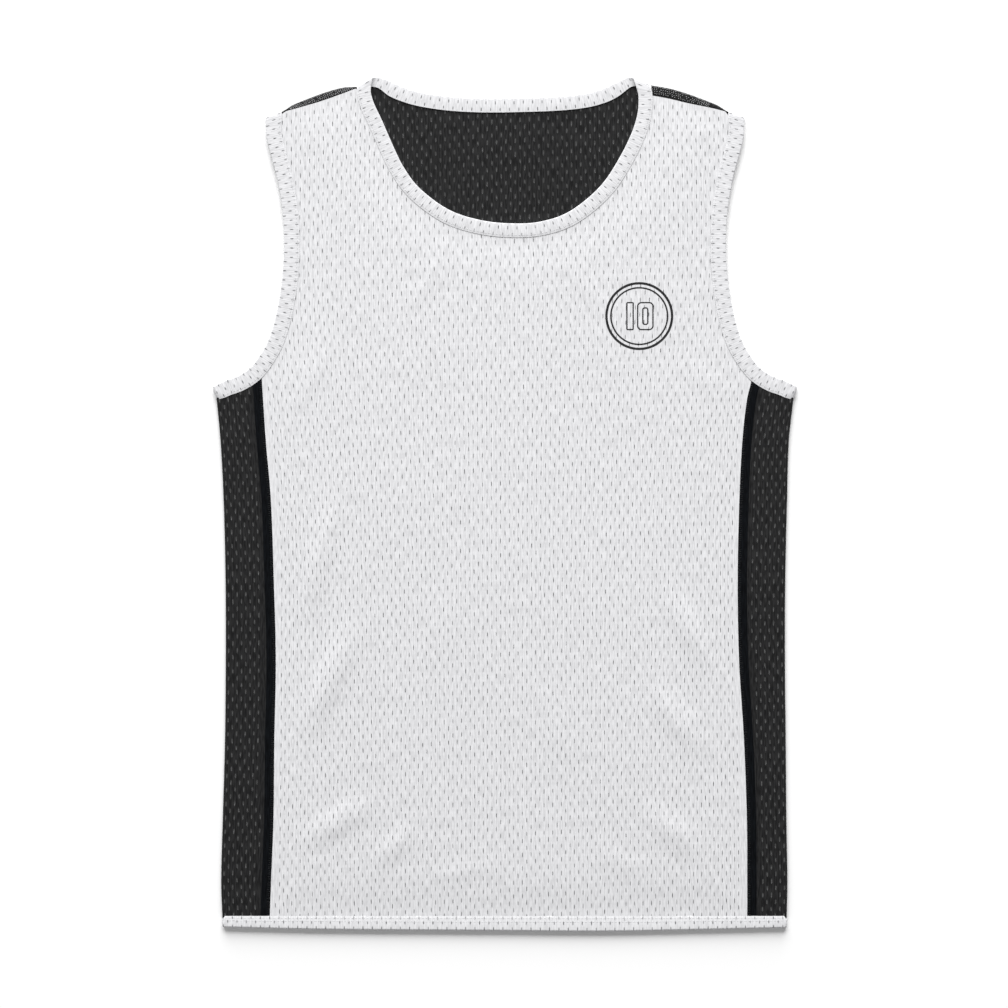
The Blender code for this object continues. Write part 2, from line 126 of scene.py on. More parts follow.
Place = namedtuple("Place", "x y")
Side = namedtuple("Side", "y left_fold left_seam right_seam right_fold")
Shoulder = namedtuple("Shoulder", "along lift left_reach right_reach")
Hem = namedtuple("Hem", "x depth")
Fold = namedtuple("Fold", "x y heading length half_width height")
Turn = namedtuple("Turn", "seam edge")
Knit = namedtuple("Knit", "y column narrowing row")
Slit = namedtuple("Slit", "width spread half_length")


def places(*rows):
    return tuple(Place(x, y) for x, y in rows)


# Finished edges of the neck, from the left shoulder to the right one
FRONT_NECK = places(
    (-120.0, 368.0), (-116.6, 357.0), (-109.7, 342.5), (-99.0, 318.0), (-90.0, 300.0),
    (-75.8, 281.4), (-50.0, 262.5), (-22.0, 253.3), (6.0, 250.3), (32.0, 252.0),
    (58.0, 261.3), (84.7, 283.3), (102.0, 309.0), (113.3, 332.3), (118.3, 350.0),
    (118.8, 366.0),
)
BACK_NECK = places(
    (-113.3, 381.0), (-104.5, 378.4), (-93.0, 373.0), (-76.0, 367.6), (-50.0, 363.6),
    (-18.0, 361.9), (18.0, 362.4), (48.0, 363.6), (70.0, 366.0), (86.0, 370.2),
    (101.0, 377.2), (109.7, 381.3),
)
NECK_TURNS = {
    -1: Turn(Place(-133.0, 374.0), Place(-119.0, 383.0)),
    1: Turn(Place(131.0, 374.0), Place(114.8, 382.3)),
}

# One armhole's finished edge, shoulder to underarm, with x measured outwards from the centre
ARMHOLE = places(
    (213.1, 344.0), (212.9, 329.0), (208.4, 310.0), (203.2, 290.5), (199.2, 268.0),
    (197.0, 244.0), (197.2, 217.0), (200.0, 189.0), (204.8, 165.0), (210.6, 147.0),
    (217.6, 134.4), (226.6, 122.4), (239.0, 114.2), (250.0, 110.4), (258.7, 105.7),
)
NARROWEST_ROW = 6
ARMHOLE_START = 1.0
ARMHOLE_STOP = len(ARMHOLE) - 1.35
OVER_STOP = len(ARMHOLE) - 1.4
SHOULDER_TURN = Turn(Place(199.5, 351.8), Place(214.0, 346.3))
UNDERARM_TURN = Turn(Place(257.3, 93.0), Place(261.0, 105.0))
UNDERARM_SEAM = {-1: 216.8, 1: 219.6}

# The two sides, underarm to hem
SIDES = (
    Side(93.0, -257.3, -215.6, 215.6, 257.3),
    Side(57.0, -254.0, -213.2, 211.6, 253.4),
    Side(4.0, -251.2, -208.7, 208.9, 251.8),
    Side(-67.0, -249.5, -206.1, 207.4, 250.2),
    Side(-138.0, -249.3, -204.3, 208.6, 249.9),
    Side(-210.0, -250.0, -205.6, 213.0, 250.6),
    Side(-281.0, -252.0, -206.4, 215.6, 251.2),
    Side(-335.0, -253.4, -208.5, 215.9, 252.1),
    Side(-366.3, -252.4, -209.6, 215.9, 251.5),
)
HEM_SEAM = -366.3
HEM = (
    Hem(-252.0, 9.9),
    Hem(-165.0, 11.9),
    Hem(0.0, 13.1),
    Hem(85.0, 13.7),
    Hem(174.0, 12.1),
    Hem(251.0, 10.4),
)

# The shoulder strips, armhole to neck: how far the fold bows out, and how far in front of it each reaches
SHOULDERS = (
    Shoulder(0.0, 0.0, 0.2, 0.2),
    Shoulder(0.2, 1.5, 2.6, 2.6),
    Shoulder(0.5, 2.6, 4.5, 6.2),
    Shoulder(0.75, 2.3, 4.0, 7.4),
    Shoulder(1.0, 0.0, 1.0, 7.8),
)
STRIP_RUN = (-0.02, 1.02)
STRIP_BACK = 9.0
STRIP_OVERLAP = 1.6
STRIP_END = 0.15
STRIP_SINK = 0.25
STRIP_SWELL = 0.12

# The largest soft ridges of the front, each about its middle, with its heading in degrees from +X
FOLDS = (
    Fold(-163.7, -45.0, 77.6, 150.0, 17.0, 1.1),
    Fold(-156.0, -156.6, 66.8, 150.0, 20.0, 1.5),
    Fold(-149.4, -282.8, 32.0, 100.0, 18.0, 1.05),
    Fold(-100.0, -306.0, 45.0, 66.0, 16.0, 0.8),
    Fold(163.2, -112.0, -66.0, 104.0, 17.0, 1.1),
    Fold(151.8, -191.3, -52.5, 104.0, 19.0, 0.95),
    Fold(149.4, -292.0, -41.6, 84.0, 18.0, 1.0),
)

# The front's smaller creases, and the ridges of the back, which lift it off the floor
CREASES = (
    Fold(-70.0, 196.0, 58.0, 92.0, 13.0, 0.35),
    Fold(74.0, 190.0, -52.0, 84.0, 14.0, 0.3),
    Fold(-168.0, 118.0, 64.0, 88.0, 12.0, 0.45),
    Fold(172.0, 112.0, -60.0, 76.0, 13.0, 0.4),
    Fold(-60.0, -120.0, 80.0, 130.0, 20.0, 0.3),
    Fold(48.0, -205.0, -74.0, 120.0, 22.0, 0.35),
    Fold(100.0, -318.0, -30.0, 70.0, 14.0, 0.5),
    Fold(-30.0, -325.0, 12.0, 90.0, 12.0, 0.3),
)
BACK_FOLDS = (
    Fold(150.0, -70.0, -74.0, 130.0, 18.0, 1.1),
    Fold(140.0, -210.0, -60.0, 120.0, 20.0, 1.4),
    Fold(110.0, -306.0, -35.0, 80.0, 16.0, 0.9),
    Fold(-152.0, -120.0, 68.0, 110.0, 18.0, 1.3),
    Fold(-146.0, -268.0, 44.0, 96.0, 17.0, 1.0),
    Fold(-20.0, 240.0, 8.0, 120.0, 20.0, 0.8),
)

# The knit across and down a panel: how wide its columns are in the middle, how much less at the sides
KNIT = (
    Knit(-327.0, 7.74, 0.36, 6.11),
    Knit(-166.0, 7.76, 0.54, 6.24),
    Knit(-6.0, 7.96, 0.93, 6.42),
    Knit(101.0, 8.21, 0.70, 6.51),
    Knit(209.0, 8.41, 0.29, 6.51),
    Knit(315.0, 8.35, 0.20, 6.13),
)
KNIT_REACH = 430.0
KNIT_COLUMNS = range(-38, 39)
KNIT_ROWS = range(-80, 81)
SIDE_COLUMNS = range(-8, 9)
SIDE_ROWS = range(-62, 22)

# Half the slits' width at their middles, how much that varies, and half their length
WHITE_SLIT = Slit(0.16, 0.3, 2.78)
BLACK_SLIT = Slit(0.12, 0.15, 2.8)
BINDING_SLIT = Slit(0.19, 0.35, 1.9)


# Curves


def hermite(t, a, b, start, end):
    """A smooth step from a to b, with these slopes at its ends."""
    place = a * (2 * t**3 - 3 * t**2 + 1) + start * (t**3 - 2 * t**2 + t)
    return place + (b * (3 * t**2 - 2 * t**3) + end * (t**3 - t**2))


def on_curve(points, u):
    """Places and unit directions at each u on a smooth line, where point i is at u = i."""
    points, u = np.array(points, float), np.asarray(u, float)
    i = np.clip(u.astype(int), 0, len(points) - 2)
    t = (u - i)[:, None]
    longer = np.vstack([points[:1], points, points[-1:]])
    slopes = (longer[2:] - longer[:-2]) / 2
    a, b, start, end = points[i], points[i + 1], slopes[i], slopes[i + 1]
    heading = (a - b) * (6 * t**2 - 6 * t) + start * (3 * t**2 - 4 * t + 1) + end * (3 * t**2 - 2 * t)
    return hermite(t, a, b, start, end), unit(heading)


def unit(vectors):
    return vectors / np.linalg.norm(vectors, axis=-1, keepdims=True)


def to_left(vectors):
    return np.stack([-vectors[..., 1], vectors[..., 0]], axis=-1)


def height_curve(rows, x):
    """The values at each x of a smooth line through (x, value) rows, whose x runs upwards."""
    places, values = np.array(rows, float).T
    x = np.asarray(x, float)
    last = len(places) - 1
    i = np.clip(np.searchsorted(places, x, side="right") - 1, 0, last - 1)
    width = places[i + 1] - places[i]
    t = (x - places[i]) / width

    def grade(k):
        before, after = np.maximum(k - 1, 0), np.minimum(k + 1, last)
        return (values[after] - values[before]) / (places[after] - places[before]) * width

    return hermite(t, values[i], values[i + 1], grade(i), grade(i + 1))


def table_curve(table, at, value, x):
    """A smooth line through one named column of a table against another."""
    return height_curve([(getattr(row, at), getattr(row, value)) for row in table], x)


def ease(t):
    t = np.clip(t, 0.0, 1.0)
    return t * t * (3 - 2 * t)


def distances(line):
    """How far along a line of points each of them is."""
    return np.concatenate([[0.0], np.cumsum(np.linalg.norm(np.diff(line, axis=0), axis=1))])


def between(at, runs, rows, period=None):
    """Rows read off, column by column, at places between those that they stand at."""
    return np.column_stack([np.interp(at, runs, column, period=period) for column in rows.T])


def resample(line, spacing):
    """Points about this far apart along a line of points, both ends kept."""
    runs = distances(line)
    count = max(int(round(runs[-1] / spacing)), 1)
    return between(np.linspace(0.0, runs[-1], count + 1), runs, line)


def fold_frame(turn, side=1):
    """A fold's centre line and its outward direction: (seam end, finished end, out)."""
    seam = np.array((turn.seam.x * side, turn.seam.y))
    edge = np.array((turn.edge.x * side, turn.edge.y))
    out = to_left(unit(edge - seam))
    if out[0] * seam[0] < 0:
        out = -out
    return seam - out * MIDDLE, edge - out * MIDDLE, out


# The plan of each opening: (seam line, finished edge)


def neck_edge(rows, width):
    edge, heading = on_curve(rows, np.linspace(0, len(rows) - 1, 5 * (len(rows) - 1) + 1))
    return edge - to_left(heading) * width, edge


def armhole_at(side, u, width):
    """The armhole's seam line and finished edge at each u along its table."""
    points = [(row.x * side, row.y) for row in ARMHOLE]
    edge, heading = on_curve(points, u)
    return edge - to_left(heading) * width * side, edge


@functools.cache
def underarm_u(side):
    """How far along the armhole the side seam meets it."""
    u = np.linspace(NARROWEST_ROW, len(ARMHOLE) - 1, 2000)
    seam = armhole_at(side, u, ARMHOLE_BINDING)[0]
    return u[np.argmax(seam[:, 0] * side >= UNDERARM_SEAM[side])]


@functools.cache
def underarm(side):
    """Where the side seam meets the armhole's seam."""
    return armhole_at(side, [underarm_u(side)], ARMHOLE_BINDING)[0][0]


def armhole_run(side, low, high, width, count):
    return armhole_at(side, np.linspace(low, high, count), width)


def side_line(side, column):
    """A side's fold or seam as (y, x) rows, from the hem up to the underarm."""
    return [(row.y, getattr(row, f"{SIDE_NAMES[side]}_{column}")) for row in reversed(SIDES)]


def seam_x(side, y):
    """The seam between the front and a side panel."""
    top = underarm(side)
    return height_curve(side_line(side, "seam") + [(top[1], top[0])], y)


def fold_x(side, y):
    """The centre line of the fold at one side."""
    top = fold_frame(UNDERARM_TURN, side)[0]
    rows = [(row_y, x - MIDDLE * side) for row_y, x in side_line(side, "fold")[:-1]]
    return height_curve(rows + [(top[1], top[0])], y)


def side_seam(side, tuck):
    """The side seam from the armhole down to the hem, each end run on under its binding."""
    top = armhole_at(side, [underarm_u(side)], ARMHOLE_BINDING - tuck)[0][0]
    y = np.linspace(underarm(side)[1], HEM_SEAM, 80)
    line = np.column_stack([seam_x(side, y), y])
    foot = [(line[-1][0], HEM_SEAM - tuck)]
    return np.vstack([[top], line, foot] if tuck else [line])


@functools.cache
def shoulder_lines(side):
    """A shoulder strip's (front edge, fold centre, back edge, out), from armhole to neck."""
    arm_seam, _, arm_out = fold_frame(SHOULDER_TURN, side)
    neck_seam, _, neck_out = fold_frame(NECK_TURNS[side])
    back_line = neck_edge(BACK_NECK, NECK_BINDING)[0]
    if side > 0:
        back_line = back_line[::-1]
    arm_line = armhole_run(side, ARMHOLE_START, 4.0, ARMHOLE_BINDING, 30)[0]
    along = np.linspace(*STRIP_RUN, 40)
    square = to_left(unit(neck_seam - arm_seam)) * -side
    first, second = np.clip(2 * along, 0, 1)[:, None], np.clip(2 * along - 1, 0, 1)[:, None]
    out = arm_out + (square - arm_out) * first
    out = unit(out + (neck_out - out) * second)
    lift = table_curve(SHOULDERS, "along", "lift", along)[:, None]
    reach = table_curve(SHOULDERS, "along", f"{SIDE_NAMES[side]}_reach", along)[:, None]
    centre = arm_seam + (neck_seam - arm_seam) * along[:, None] + square * lift
    back_start = resample(arm_line, 1.0)[int(STRIP_BACK)]
    back = back_start + (back_line[0] - back_start) * along[:, None]
    return centre - out * reach, centre, back, out


def shoulder_edge(kind, side):
    """The shoulder's line, from armhole to neck, of the front, the back or a lining."""
    front, centre, back, _ = shoulder_lines(side)
    line = {"front": front, "back": back, "lining": centre}[kind]
    return line[1:-1]


def outline(kind, neck, tuck):
    """A panel's outline, anticlockwise from the hem's right corner, run on under its bindings."""
    arms = {}
    for side in (-1, 1):
        stop = underarm_u(side) - 0.05
        arms[side] = armhole_run(side, ARMHOLE_START, stop, ARMHOLE_BINDING - tuck, 60)[0]
    neckline = neck_edge(neck, NECK_BINDING - tuck)[0]
    parts = [
        side_seam(1, tuck)[::-1],
        arms[1][::-1],
        shoulder_edge(kind, 1),
        neckline[::-1],
        shoulder_edge(kind, -1)[::-1],
        arms[-1],
        side_seam(-1, tuck),
    ]
    line = np.vstack(parts + [parts[0][:1]])
    keep = np.concatenate([[True], np.linalg.norm(np.diff(line, axis=0), axis=1) > SAME_PLACE])
    return resample(line[keep], RIM_STEP)[:-1]


def clearance(points, rim):
    """How far each point is inside an outline. It is negative outside."""
    nearest = np.full(len(points), np.inf)
    odd = np.zeros(len(points), bool)
    x, y = points.T
    for a, b in zip(rim, np.roll(rim, -1, axis=0)):
        run = b - a
        share = np.clip((points - a) @ run / (run @ run), 0.0, 1.0)
        nearest = np.minimum(nearest, np.hypot(*(points - a - share[:, None] * run).T))
        if a[1] != b[1]:
            crosses = (a[1] > y) != (b[1] > y)
            odd ^= crosses & (x < a[0] + (y - a[1]) * run[0] / run[1])
    return np.where(odd, nearest, -nearest)


# Relief


def bump(t):
    """One smooth swell: 1 at 0, and level with the cloth at -1 and 1."""
    return np.cos(np.clip(np.abs(t), 0.0, 1.0) * math.pi / 2) ** 2


def ridges(points, folds):
    """How far a table of folds lifts each point."""
    total = np.zeros(len(points))
    for fold in folds:
        heading = math.radians(fold.heading)
        along = np.array((math.cos(heading), math.sin(heading)))
        away = points - (fold.x, fold.y)
        ridge = bump(away @ along / (fold.length / 2)) * bump(away @ to_left(along) / fold.half_width)
        total += fold.height * ridge
    return total


def fullness(points, rim, folds, share):
    """How far a ply stands up at each point, eased down to its seams."""
    total = CROWN + ridges(points, folds)
    return share * total * ease(clearance(points, rim) / SEAM_EASE)


# Knitted sheets

# The six corners of a cell and of its slit, clockwise from the top, and how much of the painted slit halo
# each point of the slit takes
CELL = np.array([(0.0, 0.5), (0.5, 0.5), (0.5, -0.5), (0.0, -0.5), (-0.5, -0.5), (-0.5, 0.5)])
SLIT_ACROSS = np.array([0.0, 1.0, 1.0, 0.0, -1.0, -1.0])
SLIT_ALONG = np.array([1.0, SLIT_SHOULDER, -SLIT_SHOULDER, -1.0, -SLIT_SHOULDER, SLIT_SHOULDER])
SLIT_NEAR = np.array([0.8, 1.0, 1.0, 0.8, 1.0, 1.0])


class Sheet:
    """A sheet while it is built: points, how near a slit each is, faces and their flat corners."""

    def __init__(self):
        self.flat, self.near, self.faces, self.uvs = [], [], [], []
        self.count = 0

    def add(self, flat, near_slit=0.0):
        """Adds points, and returns the number of the first."""
        first = self.count
        self.flat.append(flat)
        self.near.append(np.broadcast_to(near_slit, len(flat)))
        self.count += len(flat)
        return first

    def split(self, wanted=None):
        """Splits each face, or each whose middle is wanted, into as many faces as it has corners."""
        sizes = np.array([len(face) for face in self.faces])
        owner = np.repeat(np.arange(len(sizes)), sizes)
        first = (np.cumsum(sizes) - sizes)[owner]
        at = np.arange(len(owner)) - first
        after, before = first + (at + 1) % sizes[owner], first + (at - 1) % sizes[owner]
        points, corners = np.concatenate(self.faces), np.vstack(self.uvs)
        near = np.concatenate(self.near)[points]
        middle = np.column_stack([np.bincount(owner, column) for column in corners.T]) / sizes[:, None]
        middle_near = np.bincount(owner, near) / sizes
        chosen = np.ones(len(sizes), bool) if wanted is None else wanted(middle)
        use = chosen[owner]
        ends = np.sort(np.column_stack([points, points[after]]), axis=1)
        halves, half_near = (corners + corners[after]) / 2, (near + near[after]) / 2
        pairs, pick, where = np.unique(ends[use], axis=0, return_index=True, return_inverse=True)
        edges = np.zeros(len(points), int)
        edges[use] = self.add(halves[use][pick], half_near[use][pick]) + where.ravel()
        middles = self.add(middle[chosen], middle_near[chosen]) + (np.cumsum(chosen) - 1)[owner]
        faces = np.column_stack([points, edges, middles, edges[before]])[use].tolist()
        uvs = [np.stack([corners, halves, middle[owner], halves[before]], axis=1)[use].reshape(-1, 2)]
        split = dict(zip(map(tuple, pairs.tolist()), edges[use][pick].tolist()))
        for face, start in zip(np.flatnonzero(~chosen), first[at == 0][~chosen]):
            line, places = [], []
            for k in range(start, start + sizes[face]):
                line.append(int(points[k]))
                places.append(corners[k])
                middle_of_edge = split.get(tuple(ends[k].tolist()))
                if middle_of_edge is not None:
                    line.append(middle_of_edge)
                    places.append(halves[k])
            faces.append(line)
            uvs.append(np.array(places))
        self.faces, self.uvs = faces, uvs


def slit_points(lattice, cells, slit, chance):
    """The six points of each cell's slit, in the flat plan."""
    c, r = cells.T
    middle = lattice(c, r)
    along = unit(lattice(c, r + 0.25) - lattice(c, r - 0.25))
    tilt = chance.normal(0.0, SLIT_TILT, len(cells))
    along = unit(along + to_left(along) * tilt[:, None])
    width = slit.width * (1 + slit.spread * chance.uniform(-1.0, 1.0, len(cells)))
    length = slit.half_length * (1 + SLIT_UNEVENNESS * chance.uniform(-1.0, 1.0, len(cells)))
    drift = chance.normal(0.0, SLIT_DRIFT, len(cells))
    middle = middle + along * drift[:, None]
    sides = -to_left(along)[:, None, :] * (width[:, None] * SLIT_ACROSS)[:, :, None]
    ends = along[:, None, :] * (length[:, None] * SLIT_ALONG)[:, :, None]
    return middle[:, None, :] + sides + ends


def add_cells(sheet, lattice, cells, slits, open_cells, around):
    """The sheet's whole cells: six faces round each slit, or one face where there is no slit."""
    corners = cells[:, None, :] + CELL[None, :, :]
    keys = np.rint(corners * 2).astype(int)
    if around:
        keys[:, :, 0] %= 2 * around
    kept, where = np.unique(keys.reshape(-1, 2), axis=0, return_inverse=True)
    ids = sheet.add(lattice(*(kept.T / 2.0))) + where.reshape(-1, 6)
    corner_flat = lattice(*corners.reshape(-1, 2).T).reshape(-1, 6, 2)
    holes = slits[open_cells]
    hole_ids = sheet.add(holes.reshape(-1, 2), np.tile(SLIT_NEAR, len(holes)))
    hole_ids = hole_ids + np.arange(len(holes) * 6).reshape(-1, 6)
    after = np.roll(np.arange(6), -1)
    outer, outer_flat = ids[open_cells], corner_flat[open_cells]
    quads = np.stack([outer, hole_ids, hole_ids[:, after], outer[:, after]], axis=2)
    quad_flat = np.stack([outer_flat, holes, holes[:, after], outer_flat[:, after]], axis=2)
    sheet.faces += quads.reshape(-1, 4).tolist()
    sheet.uvs.append(quad_flat.reshape(-1, 2))
    sheet.faces += ids[~open_cells][:, ::-1].tolist()
    sheet.uvs.append(corner_flat[~open_cells][:, ::-1].reshape(-1, 2))
    return ids


def cell_loops(ids):
    """The edges of the block of whole cells, as closed loops of point numbers."""
    edges = {}
    for cell in ids.tolist():
        for a, b in zip(cell, cell[1:] + cell[:1]):
            if edges.pop((b, a), None) is None:
                edges[a, b] = True
    follow = dict(edges.keys())
    loops = []
    while follow:
        start = next(iter(follow))
        loop, at = [start], follow.pop(start)
        while at != start:
            loop.append(at)
            at = follow.pop(at)
        loops.append(loop)
    return loops


def signed_area(line):
    """The area inside a closed line, above 0 where the line runs anticlockwise."""
    x, y = np.array(line).T
    return (x @ np.roll(y, -1) - y @ np.roll(x, -1)) / 2


def add_margin(sheet, rim, loops, slits, mirrored):
    """Fills between the whole cells and the outline, around the slits that fit there."""
    flat = np.vstack(sheet.flat)
    outlines = [(rim, [None] * len(rim), np.zeros(len(rim)))]
    outlines += [(flat[loop], loop, np.zeros(len(loop))) for loop in loops]
    outlines += [(slit, [None] * 6, SLIT_NEAR) for slit in slits]
    points, numbers, nears, groups = [], [], [], []
    for line, names, near in outlines:
        group = list(range(len(points), len(points) + len(line)))
        groups.append(group if signed_area(line) > 0 else group[::-1])
        points += list(line)
        numbers += list(names)
        nears += list(near)
    found = delaunay_2d_cdt([Vector(p) for p in points], [], groups, 1, 1e-4)
    spots, triangles, sources, owners = found[0], found[2], found[3], found[5]
    final = []
    for spot, source in zip(spots, sources):
        number = next((numbers[s] for s in source if numbers[s] is not None), None)
        if number is None:
            number = sheet.add(np.array([spot]), max((nears[s] for s in source), default=0.0))
        final.append(number)
    flat = np.vstack(sheet.flat)
    for triangle, owner in zip(triangles, owners):
        if owner == [0]:
            face = [final[i] for i in (triangle[::-1] if mirrored else triangle)]
            sheet.faces.append(face)
            sheet.uvs.append(flat[face])


def knit(lattice, cells, slit, seed, rim=None, around=0, no_slit=None):
    """A flat sheet of staggered cells with a slit in each, cut to an outline if there is one."""
    chance = np.random.default_rng(seed)
    sheet = Sheet()
    slits = slit_points(lattice, cells, slit, chance)
    opened = np.ones(len(cells), bool)
    if no_slit is not None:
        opened = ~no_slit(lattice(*cells.T))
    if rim is None:
        add_cells(sheet, lattice, cells, slits, opened, around)
        return sheet
    corners = lattice(*(cells[:, None, :] + CELL).reshape(-1, 2).T)
    whole = (clearance(corners, rim).reshape(-1, 6) > CELL_CLEARANCE).all(axis=1)
    fits = (clearance(slits.reshape(-1, 2), rim).reshape(-1, 6) > SLIT_CLEARANCE).all(axis=1)
    ids = add_cells(sheet, lattice, cells[whole], slits[whole], opened[whole], 0)
    mirrored = signed_area(lattice(*CELL.T)) > 0
    add_margin(sheet, rim, cell_loops(ids), slits[fits & ~whole & opened], mirrored)
    return sheet


@functools.cache
def knit_tables():
    """Fine tables of a panel's knit: heights, rows counted from y = 0, columns and narrowing."""
    y = np.arange(-KNIT_REACH, KNIT_REACH + 1.0)
    inside = np.clip(y, KNIT[0].y, KNIT[-1].y)
    row, column, narrowing = (table_curve(KNIT, "y", name, inside) for name in ("row", "column", "narrowing"))
    rows = np.cumsum(1.0 / row)
    return y, rows - np.interp(0.0, y, rows), column, narrowing


def panel_lattice(mirror=1, slip=(0.0, 0.0)):
    """The knit of a front or back panel: columns closer at the sides, rows that rise to one side."""

    def lattice(c, r):
        y, rows, column, narrowing = knit_tables()
        c, r = np.asarray(c, float) + slip[0], np.asarray(r, float) + slip[1]
        height = np.interp(r, rows, y)
        a, b = np.interp(height, y, column), np.interp(height, y, narrowing)
        x = SPREAD_WIDTH * np.sqrt(a / b) * np.tanh(c * np.sqrt(a * b) / SPREAD_WIDTH)
        return np.column_stack([x * mirror, height + RISE * x + RISE_BEND * x * x])

    return lattice


def brick_cells(columns, rows):
    """Cells of a staggered layout: every second row is half a cell along."""
    cells = [(c + (r % 2) / 2.0, r) for r in rows for c in columns]
    return np.array(cells, float)


# Shapes of the sheets


def side_shape(side, radius):
    """A side panel folded round its edge: x of the plan is 0 at the fold, and negative in front."""
    around = math.pi * radius

    def shape(flat):
        u, y = flat.T
        turn = np.clip(u / radius, 0.0, math.pi)
        reach = np.where(u < 0, u, np.where(u > around, around - u, 0.0))
        x = fold_x(side, y) + side * (reach + radius * np.sin(turn))
        return np.column_stack([x, y, MIDDLE + radius * np.cos(turn)])

    return shape


Ring = namedtuple("Ring", "length at rows")


def ring(front, back, first_fold, last_fold, rear=0.0):
    """A binding's run: along the front, round one fold, back underneath and round the other.

    Each of its rows holds the seam, the finished edge, the lean and the rear at one distance along it.
    Rear is how far the inside of the back rears up beside the folds.
    """
    turns = np.linspace(0.0, math.pi, 9)
    seam, edge, lean = [], [], []

    def add_run(pair, height):
        for s, e in zip(*pair):
            seam.append(s)
            edge.append(e)
            lean.append((0.0, 0.0, height))

    def add_fold(fold, order):
        for turn in order:
            seam.append(fold[0])
            edge.append(fold[1])
            lean.append((*(fold[2] * math.sin(turn)), math.cos(turn)))

    add_run(front, 1.0)
    add_fold(first_fold, turns)
    add_run(back, -1.0)
    add_fold(last_fold, turns[::-1])
    seam, edge, lean = np.array(seam), np.array(edge), np.array(lean)
    middle = np.column_stack([(seam + edge) / 2, np.zeros(len(seam))]) + lean * MIDDLE
    runs = distances(np.vstack([middle, middle[:1]]))
    length = runs[-1]
    at = np.linspace(0.0, length, int(length), endpoint=False)
    rows = np.column_stack([seam, edge, lean])
    rows = between(at, runs, np.vstack([rows, rows[:1]]))
    weights = np.hanning(CORNER_SMOOTHING)[1:-1]
    reach = len(weights) // 2
    longer = np.vstack([rows[-reach:], rows, rows[:reach]])
    rows = np.column_stack([np.convolve(longer[:, k], weights / weights.sum(), "valid") for k in range(7)])
    level = rows[:, 6]
    folds = at[(level > 0) != (np.roll(level, 1) > 0)]
    away = np.min([np.abs((at - fold + length / 2) % length - length / 2) for fold in folds], axis=0)
    rears = rear * bump((away - REAR_MIDDLE) / REAR_REACH) * np.maximum(-level, 0.0)
    return Ring(length, at, np.column_stack([rows, rears]))


def ring_shape(band, cut):
    """A folded binding: y of the plan is 0 on its finished edge, and positive on its outside."""
    half = (BAND_OUTSIDE - BAND_INSIDE) / 2
    turn = cut.edge_depth + EDGE_RISE

    def shape(flat):
        u, v = flat.T
        rows = between(u % band.length, band.at, band.rows, band.length)
        seam, edge, lean, rear = rows[:, :2], rows[:, 2:4], rows[:, 4:7], rows[:, 7]
        sign, share = np.sign(v), np.abs(v) / cut.width
        wide = np.linalg.norm(seam - edge, axis=1)
        reach = share * wide
        angle = np.clip(reach / turn, 0.0, 1.0) * math.pi / 2
        inwards = cut.edge_depth * (1 - np.cos(angle))
        inwards += np.maximum(reach - turn, 0.0) * (wide - cut.edge_depth) / (wide - turn)
        arch = np.sin(math.pi * share)
        swell = arch * (PUFF * (1 + sign * lean[:, 2]) / 2 + FOLD_BOW * sign * (1 - lean[:, 2] ** 2))
        swell -= SEAM_DIP * ease((share - SEAM_DIP_START) / (1 - SEAM_DIP_START)) * (sign > 0)
        swell -= UNDER_LIFT * (sign > 0) * (lean[:, 2] < 0) * lean[:, 2] ** 2
        swell += rear * (sign < 0) * np.sin(math.pi * share**0.6)
        radius = BAND_INSIDE + half + sign * (half * np.sin(angle) + swell)
        plan = edge + (seam - edge) * (inwards / wide)[:, None]
        points = np.column_stack([plan, np.full(len(plan), MIDDLE)])
        return points + lean * radius[:, None]

    return shape


# Making pieces


@functools.cache
def place():
    """The move from the cut's own frame to the part's, read from the frame's hem band and side panel."""
    hem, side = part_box("hem_band"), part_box("side_panel_left")
    ends = [float(fold_x(s, HEM_SEAM)) + MIDDLE * s for s in (-1, 1)]
    x = (hem[0].x + hem[1].x) / 2 / MM - sum(ends) / 2
    return np.array((x, side[0].y / MM - HEM_SEAM - SEAM_GAP, 0.0))


def add_to_scene(name, data):
    made = bpy.data.objects.new(name, data)
    bpy.context.scene.collection.objects.link(made)
    return made


def add_object(name, points, faces, uvs, near_slit, material):
    mesh = bpy.data.meshes.new(name)
    mesh.from_pydata(((points + place()) * MM).tolist(), [], faces)
    mesh.shade_smooth()
    layer = mesh.uv_layers.new(name="knit")
    layer.data.foreach_set("uv", (uvs * MM).astype(np.float32).ravel())
    # How near each point is to a slit, which places the painted slit halo
    mask = mesh.attributes.new("near_slit", "FLOAT", "POINT")
    mask.data.foreach_set("value", near_slit.astype(np.float32))
    mesh.materials.append(material)
    piece = add_to_scene(name, mesh)
    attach(piece, BODY)
    return piece


def add_sheet(name, sheet, shape, material, flip=False):
    """A named piece from a knitted sheet, laid on its shape."""
    faces, uvs = sheet.faces, np.vstack(sheet.uvs)
    if flip:
        starts = np.cumsum([0] + [len(face) for face in faces])
        uvs = np.vstack([uvs[a:b][::-1] for a, b in zip(starts, starts[1:])])
        faces = [face[::-1] for face in faces]
    points = shape(np.vstack(sheet.flat))
    return add_object(name, points, faces, uvs, np.concatenate(sheet.near), material)


def add_grid(name, points, uvs, material):
    """A named piece from rows of points."""
    rows, columns = points.shape[:2]
    starts = [i * columns + j for i in range(rows - 1) for j in range(columns - 1)]
    faces = [(a, a + 1, a + columns + 1, a + columns) for a in starts]
    flat = uvs.reshape(-1, 2)
    corners = flat[np.array(faces).ravel()]
    return add_object(name, points.reshape(-1, 3), faces, corners, np.zeros(len(flat)), material)


def declare(node, area):
    """Hides the frame's solid of the node that a piece stands for. The area it was cut to is not used."""
    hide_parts(node)


def declare_cut(node, rim):
    """The same for a piece that was cut to an outline."""
    declare(node, abs(signed_area(rim)))


# Threads

THREAD_SHOULDERS = (0.2, 0.8)


